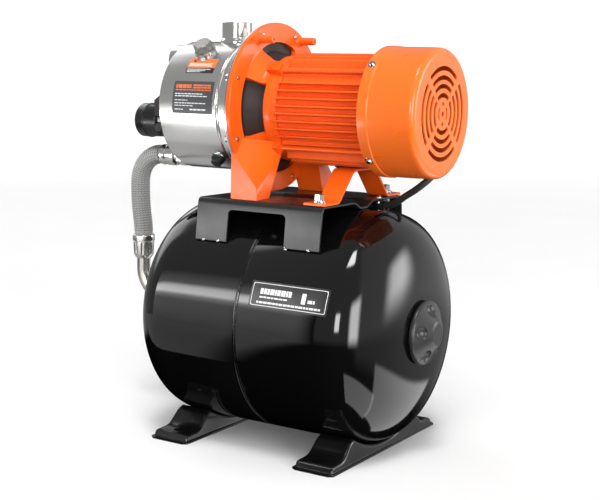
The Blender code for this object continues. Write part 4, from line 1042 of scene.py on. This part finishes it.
def hose_route(spacing):
    start_x = -215.3
    knots = [(start_x - 3, 0, HOSE_TOP_Z), (-226.5, 0, 338.6), (-238, 0, 333.5), (-248, 0, 323.5),
             (-253.5, 0, 310), (-254.7, 0, 295), (-253.5, 0, 270), (-250.2, 0, 247),
             (ELBOW_X, 0, HOSE_BOTTOM_Z + 4)]
    return [Vector((start_x + 1, 0, HOSE_TOP_Z)), *catmull(knots, spacing),
            Vector((ELBOW_X, 0, HOSE_BOTTOM_Z - 1))]


def braid_mesh(way, carriers=20, pitch=66, share_covered=0.78):
    """One set of flat wire bands, that pass over and under the set wound the other way."""
    frames = frames_along(hose_route(0.5))
    travel = [0.0]
    for (first, _, _), (second, _, _) in zip(frames, frames[1:]):
        travel.append(travel[-1] + (second - first).length)
    solid = bmesh.new()
    layer = solid.loops.layers.uv.new("UVMap")
    base = HOSE_R - 1.05
    for carrier in range(carriers):
        rows = []
        for (point, first, second), distance in zip(frames, travel):
            angle = FULL_TURN * (carrier / carriers + way * distance / pitch)
            crossing = math.cos(FULL_TURN * distance / pitch * carriers)
            lift = base + 0.5 * (1 + way * crossing)
            row = []
            for share, drop in ((-0.5, 0.45), (0, 0), (0.5, 0.45)):
                aside = angle + share * share_covered * FULL_TURN / carriers
                radius = lift - drop
                row.append(solid.verts.new(point + radius
                                           * (math.cos(aside) * first + math.sin(aside) * second)))
            rows.append(row)
        for index, (before, after) in enumerate(zip(rows, rows[1:])):
            for step in range(2):
                face = solid.faces.new((before[step], before[step + 1], after[step + 1], after[step]))
                corners = ((step, index), (step + 1, index), (step + 1, index + 1), (step, index + 1))
                for loop, (u, v) in zip(face.loops, corners):
                    loop[layer].uv = (u / 2, travel[v] / 10)
    return free_into_mesh(solid, "braid")


def fluted_body(top):
    """Crimped sleeve with flutes, that tapers below: the flutes die out at both ends."""
    rings = [[(top, 0, 0)]]
    for drop, radius, depth in ((0.0, 13.2, 0), (1, 14, 0.4), (2.2, 14.1, 1.1), (16.5, 13.3, 1.1),
                                (18, 13, 0.3), (19, 12.6, 0), (22.8, 10.2, 0)):
        ring = []
        for step in range(96):
            angle = FULL_TURN * step / 96
            reach = radius - depth * max(0.0, math.cos(9 * angle)) ** 3
            ring.append((top - drop, -reach * math.sin(angle), reach * math.cos(angle)))
        rings.append(ring)
    rings.append([(top - 22.8, 0, 0)])
    return stitch(rings)


def make_hose():
    add("hose_liner", tube(hose_route(4), HOSE_R - 1.6, 32), RUBBER)
    # The same wire twice: the set wound one way carries painted highlight, the other painted shade.
    add("hose_braid_painted_highlight", braid_mesh(-1), BRAID[-1], ("hose",), sharp=80)
    add("hose_braid_painted_shade", braid_mesh(1), BRAID[1], sharp=80)

    face = CASING_FACE
    start = -215
    upper = fillet([(start, 6.2, 0), (start, 13.4, 1), (start + 3, 13.6, 1), (start + 4.5, 13, 1),
                    (start + 9, 13, 1), (start + 10.5, 13.6, 1), (-191.5, 13.6, 1.4), (-189.5, 10.5, 1),
                    (-187.5, 10.5, 0.6), (-187.5, 6.2, 0)], 1, 5, closed=True)
    ferrule = lathe(upper, 72)
    nut = lathe(fillet([(-187.5, 0, 0), (-187.5, 11.8), (-186.2, 13), (-175.2, 13), (-174, 11.8),
                        (-174, 0, 0)], 0.6, 3), 6)
    neck = rod((-174.5, 0, 0), (face - 0.2, 0, 0), 10.5, 48)
    add("hose_fitting_upper_plated", combine([ferrule, nut, neck]), FITTING_STEEL,
        ("hose_fitting_upper",), turn=Matrix.Translation((0, 0, HOSE_TOP_Z)))

    low = HOSE_BOTTOM_Z - 0.3
    ring = lathe(fillet([(low, 6.2, 0), (low, 14.2, 0.8), (low - 2, 14.9, 1), (low - 8.2, 15, 1.2),
                         (low - 9.4, 13.4, 0.8), (low - 9.4, 6.2, 0)], 1, 5, closed=True), 96)
    place = Matrix.Translation((ELBOW_X, 0, 0)) @ UPWARDS
    add("hose_fitting_lower_plated", combine([ring, fluted_body(low - 9)]), FERRULE_STEEL,
        ("hose_fitting_lower",), turn=place, sharp=28)

    bend = 34
    route = [Vector((ELBOW_X, 0, low - 32.2)), Vector((ELBOW_X, 0, TANK_Z + bend))]
    for step in range(1, 25):
        turn = math.pi / 2 * step / 24
        route.append(Vector((ELBOW_X + bend * (1 - math.cos(turn)), 0,
                             TANK_Z + bend * (1 - math.sin(turn)))))
    route.append(Vector((-TANK_END - 12.6, 0, TANK_Z)))
    nut = rod((-202, 0, TANK_Z), (-TANK_END - 12.8, 0, TANK_Z), 15, 6)
    collar = rod((-204.5, 0, TANK_Z), (-201.8, 0, TANK_Z), 11.2, 48)
    add("tank_elbow_plated", combine([tube(route, 8.9, 48), nut, collar]), NICKEL, ("tank_elbow",))


def make_switch():
    """Pressure switch with a sloping cover, and the gauge in front of it."""
    nipple = combine([rod((CASING_FACE - 0.2, 0, GAUGE_Z), (-179.7, 0, GAUGE_Z), 7, 32),
                      rod((-164.5, 0, GAUGE_Z), (-172, 0, GAUGE_Z), 9.5, 6)])
    add("switch_nipple_plated", nipple, NICKEL, ("switch_nipple",))

    upper = block((-212, -24, 390.5), (-180, 24, 404))
    core = block((-209, -20.5, 370.5), (-180, 20.5, 391))
    lugs = [rod((x, -24, 375.8), (x, 24, 375.8), 5.6, 32) for x in (-206, -186)]
    add("pressure_switch_base_moulded", combine([upper, core, *lugs]), SWITCH_BLACK,
        ("pressure_switch_base",), soft=(1, 3, 50))
    add("pressure_switch_plate", block((-210, -22.8, 380), (-181.5, 22.8, 390)), ZINC, soft=(3, 4, 50))

    side = fillet([(-212, 404.3), (-212, 411.2), (-186.5, 429), (-180.5, 429), (-180.5, 404.3)], 1.5, 5,
                  closed=True)
    add("pressure_switch_cover_moulded", slab(side, -25, 25, UPRIGHT), SWITCH_BLACK,
        ("pressure_switch_cover",), soft=(1.2, 3, 50))
    for name, low_x, material in (("switch_label_red", -204, LABEL_RED),
                                  ("switch_label_white", -200, LABEL_WHITE)):
        patch = slab([(low_x, 412), (low_x + 3.2, 412), (low_x + 5.8, 416.8), (low_x + 3, 416.8)], 25,
                     25.15, UPRIGHT)
        add(name, patch, material)

    rings = [(-247, 19.8, 0), (-247, 21.9, 0.8), (-236.2, 22, 0.6), (-235.6, 22.7, 0.6),
             (-233.5, 22.7, 0.6), (-232.9, 21.6, 0.6), (-215, 21.1, 1.4), (-213, 19, 1), (-213, 5, 0),
             (-212.3, 5, 0), (-212.3, 0, 0), (-216, 0, 0), (-216, 18.5, 0), (-238, 18.5, 0),
             (-238, 19.8, 0)]
    case = lathe(fillet(rings, 0.8, 4), 96)
    add("gauge_case_moulded", case, GAUGE_BLACK, ("gauge_case",), turn=ON_GAUGE)
    make_dial_marks()
    screws = []
    for side_y in (-23.9, 23.9):
        for x, z, size in ((-207.5, 397.5, 2), (-187, 397.5, 2), (-206, 375.8, 2.6),
                           (-186, 375.8, 2.6)):
            screws.append(rod((x, side_y, z), (x, side_y * 1.025, z), size, 24))
    add("switch_screws", combine(screws), SWITCH_BLACK)


def make_dial_marks():
    """Scale round the dial: long and short strokes over three quarters of a turn."""
    strokes = []
    for index in range(31):
        angle = math.radians(-135 + 9 * index)
        long = index % 5 == 0
        stroke = block((-239.65, -0.2 - 0.2 * long, 15 - 1.6 * long), (-239.45, 0.2 + 0.2 * long, 17.2))
        stroke.transform(Matrix.Rotation(angle, 4, "X"))
        strokes.append(stroke)
    add("gauge_dial_marks", combine(strokes), GAUGE_BLACK, turn=ON_GAUGE)


# ---------------------------------------------------------------- electrics

def gland(start, way):
    """Cable gland: hexagon, then a domed nut."""
    return combine(bars(start, way, ((0, 9.5, 8.5, 6), (9, 15, 7.6), (14.8, 18, 7.4, 24, 5.6))))


MOTOR_GLAND = Vector((87.3, 86, 348))
SWITCH_GLAND = Vector((-196.5, 24.3, 384))


def lead_route():
    head = SWITCH_GLAND + Vector((0, 18.3, 0))
    tail = MOTOR_GLAND + Vector((18.3, 0, 0))
    knots = [tail + Vector((2, 0, 0)), (120, 85.5, 347.5), (134, 82, 343), (143, 74, 335.5),
             (144, 66, 327), (137, 61, 319), (127, 60, 311), (113, 60, 302), (101, 60, 293.5),
             (86, 60, 288.6), (68, 60, 286.8), (50, 60.5, 285.8), (30, 64, 284), (14, 73, 279.5),
             (3, 85, 273.8), (-7, 97, 271), (-20, 107, 273), (-34, 113, 279.5), (-50, 115.5, 291),
             (-68, 116, 305), (-86, 115, 320), (-104, 111, 335), (-122, 105, 348), (-140, 97, 359),
             (-158, 87, 368), (-174, 76, 374.5), (-187, 65, 379), (-194.5, 55, 382.5),
             head + Vector((0, 2, 0))]
    return [tail - Vector((1, 0, 0)), *catmull(knots, 3), head - Vector((0, 1, 0))]


def make_electrics():
    add("motor_lead_cable", tube(lead_route(), 4.2, 24), RUBBER, ("motor_lead",))
    add("motor_gland_moulded", gland(MOTOR_GLAND, BACK), SWITCH_BLACK, ("motor_cable_gland",))
    add("switch_gland_moulded", gland(SWITCH_GLAND, Vector((0, 1, 0))), SWITCH_BLACK,
        ("switch_cable_gland",))

    (left, right), (low, high) = (5, 87), (330, 425)
    outline = rectangle((left, right), (low, high), 10, 8)
    shell = slab(outline, -100, -68, UPRIGHT)
    room = rectangle((left + 2.5, right - 2.5), (low + 2.5, high - 2.5), 7.5, 8)
    add("terminal_box_moulded", boolean(shell, slab(room, -110, -70.5, UPRIGHT)), SWITCH_BLACK,
        ("terminal_box",), soft=(1.2, 3, 50))
    panel = rectangle((left + 10, right - 10), (low + 10, high - 10), 6, 6)
    lid = boolean(slab(outline, -104.3, -100.3, UPRIGHT), slab(panel, -106, -103.7, UPRIGHT))
    add("terminal_box_lid_moulded", lid, SWITCH_BLACK, ("terminal_box_lid",), soft=(0.8, 3, 50))
    screws = []
    for x in (left + 6.2, right - 6.2):
        for z in (low + 6.2, high - 6.2):
            slot = block((x - 4, 105, z - 0.4), (x + 4, 107, z + 0.4))
            screws.append(boolean(rod((x, 104, z), (x, 105.8, z), 3, 24), slot))
    add("terminal_lid_screws", combine(screws), ZINC)
    make_clip()


def make_clip():
    """P-clip under the platform: a loop round the lead, with its screw above."""
    x, y, z = 84, 60, 288.2
    loop = sector(5.8, 7.8, math.radians(280), math.radians(165), steps=32)
    ring = slab(loop, x - 4.5, x + 4.5, Matrix.Translation((0, y, z)) @ ACROSS_X)
    strap = block((x - 5, 41.5, 295.5), (x + 5, 61, 297.1))
    add("lead_clip_moulded", combine([ring, strap]), SWITCH_BLACK, ("lead_clip",))
    screw = bars(Vector((x, 46.5, PLATFORM_TOP)), UP,
                 ((0, 1, 4.6, 32), (0.9, 2.6, 3.2, 24, 2.6), (293 - PLATFORM_TOP, 0, 1.9, 16)))
    add("lead_clip_screw", combine(screw), ZINC)


# ---------------------------------------------------------------- nodes that keep their CAD shape

KEPT = {
    "capacitor": NYLON, "casing_o_ring": RUBBER, "diffuser": NYLON, "ejector": NYLON, "fan": NYLON,
    "front_bearing": CASING_STEEL, "gauge_dial": DIAL, "gauge_lens": CLEAR, "gauge_needle": NEEDLE,
    "impeller": NYLON, "impeller_nut": NICKEL, "rear_bearing": CASING_STEEL,
    "rear_shield": CAST_ALUMINIUM, "rotor_core": LAMINATION, "seal_ring": RUBBER,
    "seal_seat": CERAMIC, "shaft": CASING_STEEL, "stator_core": LAMINATION,
    "stator_windings": COPPER, "tank_bladder": RUBBER,
}


def paint_kept_nodes():
    for name, material in KEPT.items():
        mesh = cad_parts[name].data
        mesh.materials.clear()
        mesh.materials.append(material)


# ---------------------------------------------------------------- stage, light and camera

def make_stage():
    """Pale floor that curves up into a wall all round. Only the camera sees it."""
    profile = [(0, 0), (0, 1.0), (0, 3.0)]
    for step in range(1, 13):
        turn = math.pi / 2 * step / 12
        profile.append((3.0 * (1 - math.cos(turn)), 3.0 + 3.0 * math.sin(turn)))
    profile.append((14.0, 6.0))
    mesh = lathe(profile + [(14.0, 0)], 96)
    mesh.transform(UPWARDS)
    mesh.shade_smooth()
    material = new_material("pale_floor_paper", (0.86, 0.86, 0.86), 0.9, specular=0.0)
    vary_colour(material, noise(material, 3.0), (0.86, 0.86, 0.86), (0.85, 0.85, 0.85))
    floor = stage_only("pale_floor", mesh, material)
    floor.visible_glossy = False


SOFT_BOXES = (
    # azimuth from -Y towards +X, elevation, half width, half height, soft edge, brightness
    (0, 45, 181, 50, 8, 0.36),
    (130, 25, 50, 40, 15, 0.30),
    (28, 73, 16, 6, 5, 19.0),
    (66, 6, 6, 10, 10, 11.0),
    (20, 10, 4, 6, 4, 15.0),
    (133, 7, 3, 3, 13, 6.5),
    (80, -50, 36, 14, 2, 1.9),
    (140, -40, 25, 19, 2, 1.8),
    (-110, 30, 18, 12, 10, 2.2),
    (-148, 6, 24, 8, 6, -0.34),
)


def stage_only(name, mesh, material):
    """Thing of the studio that casts no shadow on the object."""
    made = bpy.data.objects.new(name, mesh)
    mesh.materials.append(material)
    bpy.context.scene.collection.objects.link(made)
    made.visible_diffuse = False
    made.visible_shadow = False
    made.visible_transmission = False
    return made


CARD_STRENGTH = 11.0
CARD_X = (-0.47, 0.03)
CARD_Y = -0.37
CARD_LOW = 0.10
CARD_HIGH = 0.42
# share of the card's length, and share of the full brightness
UPRIGHT_GLOW = ((0.0, 0.065), (0.25, 0.11), (0.40, 0.12), (0.48, 0.30), (0.54, 1.0), (0.64, 0.8),
                (0.72, 0.14), (1.0, 0.040))
FLAT_GLOW = ((0.0, 0.058), (0.35, 0.060), (1.0, 0.075))
SIDE_GLOW = ((0.0, 0.036), (0.5, 0.043), (1.0, 0.040))


def glow_card(name, corners, glow):
    """Card that only shiny surfaces see. It brightens along its second side, by the glow list."""
    solid = bmesh.new()
    layer = solid.loops.layers.uv.new("UVMap")
    face = solid.faces.new([solid.verts.new(corner) for corner in corners])
    for loop, place in zip(face.loops, ((0, 0), (1, 0), (1, 1), (0, 1))):
        loop[layer].uv = place
    mesh = free_into_mesh(solid, name)
    material = bpy.data.materials.new(name + "_glow")
    material.use_nodes = True
    tree = material.node_tree
    tree.nodes.remove(shader_of(material))
    place = node(tree, "SeparateXYZ", {"Vector": node(tree, "UVMap").outputs["UV"]}).outputs
    shares = ramp(tree, place["Y"], [(at, (share,) * 3) for at, share in glow])
    fade = node(tree, "MapRange",
                {"Value": place["X"], "From Min": 1.0, "From Max": 0.85, "To Max": CARD_STRENGTH},
                interpolation_type="SMOOTHSTEP")
    product = node(tree, "Math", {0: shares, 1: fade.outputs["Result"]}, operation="MULTIPLY")
    emission = node(tree, "Emission", {"Strength": product.outputs["Value"]})
    tree.links.new(emission.outputs["Emission"], tree.nodes["Material Output"].inputs["Surface"])
    card = stage_only(name, mesh, material)
    card.visible_camera = False


def make_cards():
    """Long strip light beside the front, and the pale table under it."""
    left, right = CARD_X
    glow_card("upright_card", [(left, CARD_Y, CARD_LOW), (right, CARD_Y, CARD_LOW),
                               (right, CARD_Y, CARD_HIGH), (left, CARD_Y, CARD_HIGH)], UPRIGHT_GLOW)
    glow_card("flat_card", [(left, -0.15, CARD_LOW), (right, -0.15, CARD_LOW),
                            (right, CARD_Y, CARD_LOW), (left, CARD_Y, CARD_LOW)], FLAT_GLOW)
    glow_card("side_card", [(left - 0.2, 0.30, CARD_LOW), (-0.16, 0.30, CARD_LOW),
                            (-0.16, -0.149, CARD_LOW), (left - 0.2, -0.149, CARD_LOW)], SIDE_GLOW)


def make_world():
    """Dark studio with soft boxes: each one is a window in azimuth and elevation."""
    world = bpy.data.worlds.new("studio")
    bpy.context.scene.world = world
    world.use_nodes = True
    tree = world.node_tree
    place = node(tree, "TexCoord").outputs["Generated"]
    place = node(tree, "SeparateXYZ", {"Vector": place}).outputs

    def maths(operation, *values):
        return node(tree, "Math", dict(enumerate(values)), operation=operation).outputs["Value"]

    def window(value, middle, half, edge):
        """1 within half of the middle, falling to 0 over the edge; all in degrees."""
        middle, half, edge = (math.radians(angle) for angle in (middle, half, edge))
        turned = maths("WRAP", maths("SUBTRACT", value, middle), math.pi, -math.pi)
        limits = {"Value": maths("ABSOLUTE", turned), "From Min": half + edge, "From Max": half}
        return node(tree, "MapRange", limits, interpolation_type="SMOOTHSTEP").outputs["Result"]

    azimuth = maths("ARCTAN2", place["X"], maths("MULTIPLY", place["Y"], -1.0))
    elevation = maths("ARCSINE", place["Z"])
    total = 0.0
    for turn, rise, wide, high, edge, strength in SOFT_BOXES:
        lit = maths("MULTIPLY", window(azimuth, turn, wide, edge), window(elevation, rise, high, edge))
        total = maths("ADD", total, maths("MULTIPLY", lit, strength))
    background = tree.nodes["Background"]
    tree.links.new(maths("MAXIMUM", total, 0.0), background.inputs["Strength"])
    background.inputs["Color"].default_value = (1, 1, 1, 1)


def add_light(name, place, target, size, power):
    """Soft area light that shiny surfaces don't mirror: the world and the cards do that part."""
    data = bpy.data.lights.new(name, "AREA")
    data.shape = "RECTANGLE"
    data.size, data.size_y = size
    data.energy = power
    light = bpy.data.objects.new(name, data)
    light.location = place
    direction = Vector(target) - Vector(place)
    light.rotation_euler = direction.to_track_quat("-Z", "Y").to_euler()
    light.visible_glossy = False
    bpy.context.scene.collection.objects.link(light)


def make_lights():
    add_light("key_overhead", (0.5, -1.2, 2.2), (0.04, 0, 0.35), (1.4, 1.0), 17)
    add_light("fill_left", (-1.6, -1.6, 0.9), (0, 0, 0.40), (1.0, 1.2), 7)
    add_light("fill_front", (1.2, -2.2, 0.7), (0.04, 0, 0.35), (1.2, 1.2), 6)
    add_light("fill_low", (0.2, -1.3, 0.06), (0.04, 0, 0.40), (1.2, 0.4), 1.2)


CAMERA_PLACE = (0.7894 + SEAM_X * MM, -1.2615, 0.4514)
CAMERA_YAW, CAMERA_PITCH, CAMERA_ROLL = 32.02, -8.39, 1.17      # degrees
CAMERA_LENS = 72.58


def make_camera():
    data = bpy.data.cameras.new("camera")
    data.sensor_width = 36.0
    data.lens = CAMERA_LENS
    data.clip_start = 0.05
    data.clip_end = 60
    camera = bpy.data.objects.new("camera", data)
    turn = (Matrix.Rotation(math.radians(CAMERA_YAW), 4, "Z")
            @ Matrix.Rotation(math.radians(90 + CAMERA_PITCH), 4, "X")
            @ Matrix.Rotation(math.radians(CAMERA_ROLL), 4, "Z"))
    camera.matrix_world = Matrix.Translation(CAMERA_PLACE) @ turn
    bpy.context.scene.collection.objects.link(camera)
    bpy.context.scene.camera = camera
    bpy.context.scene.view_settings.view_transform = "Standard"


make_tank()
make_valve_cover()
make_feet()
make_platform()
make_bracket()
make_motor()
make_casing()
make_hose()
make_switch()
make_electrics()
paint_kept_nodes()
make_stage()
make_cards()
make_world()
make_lights()
make_camera()
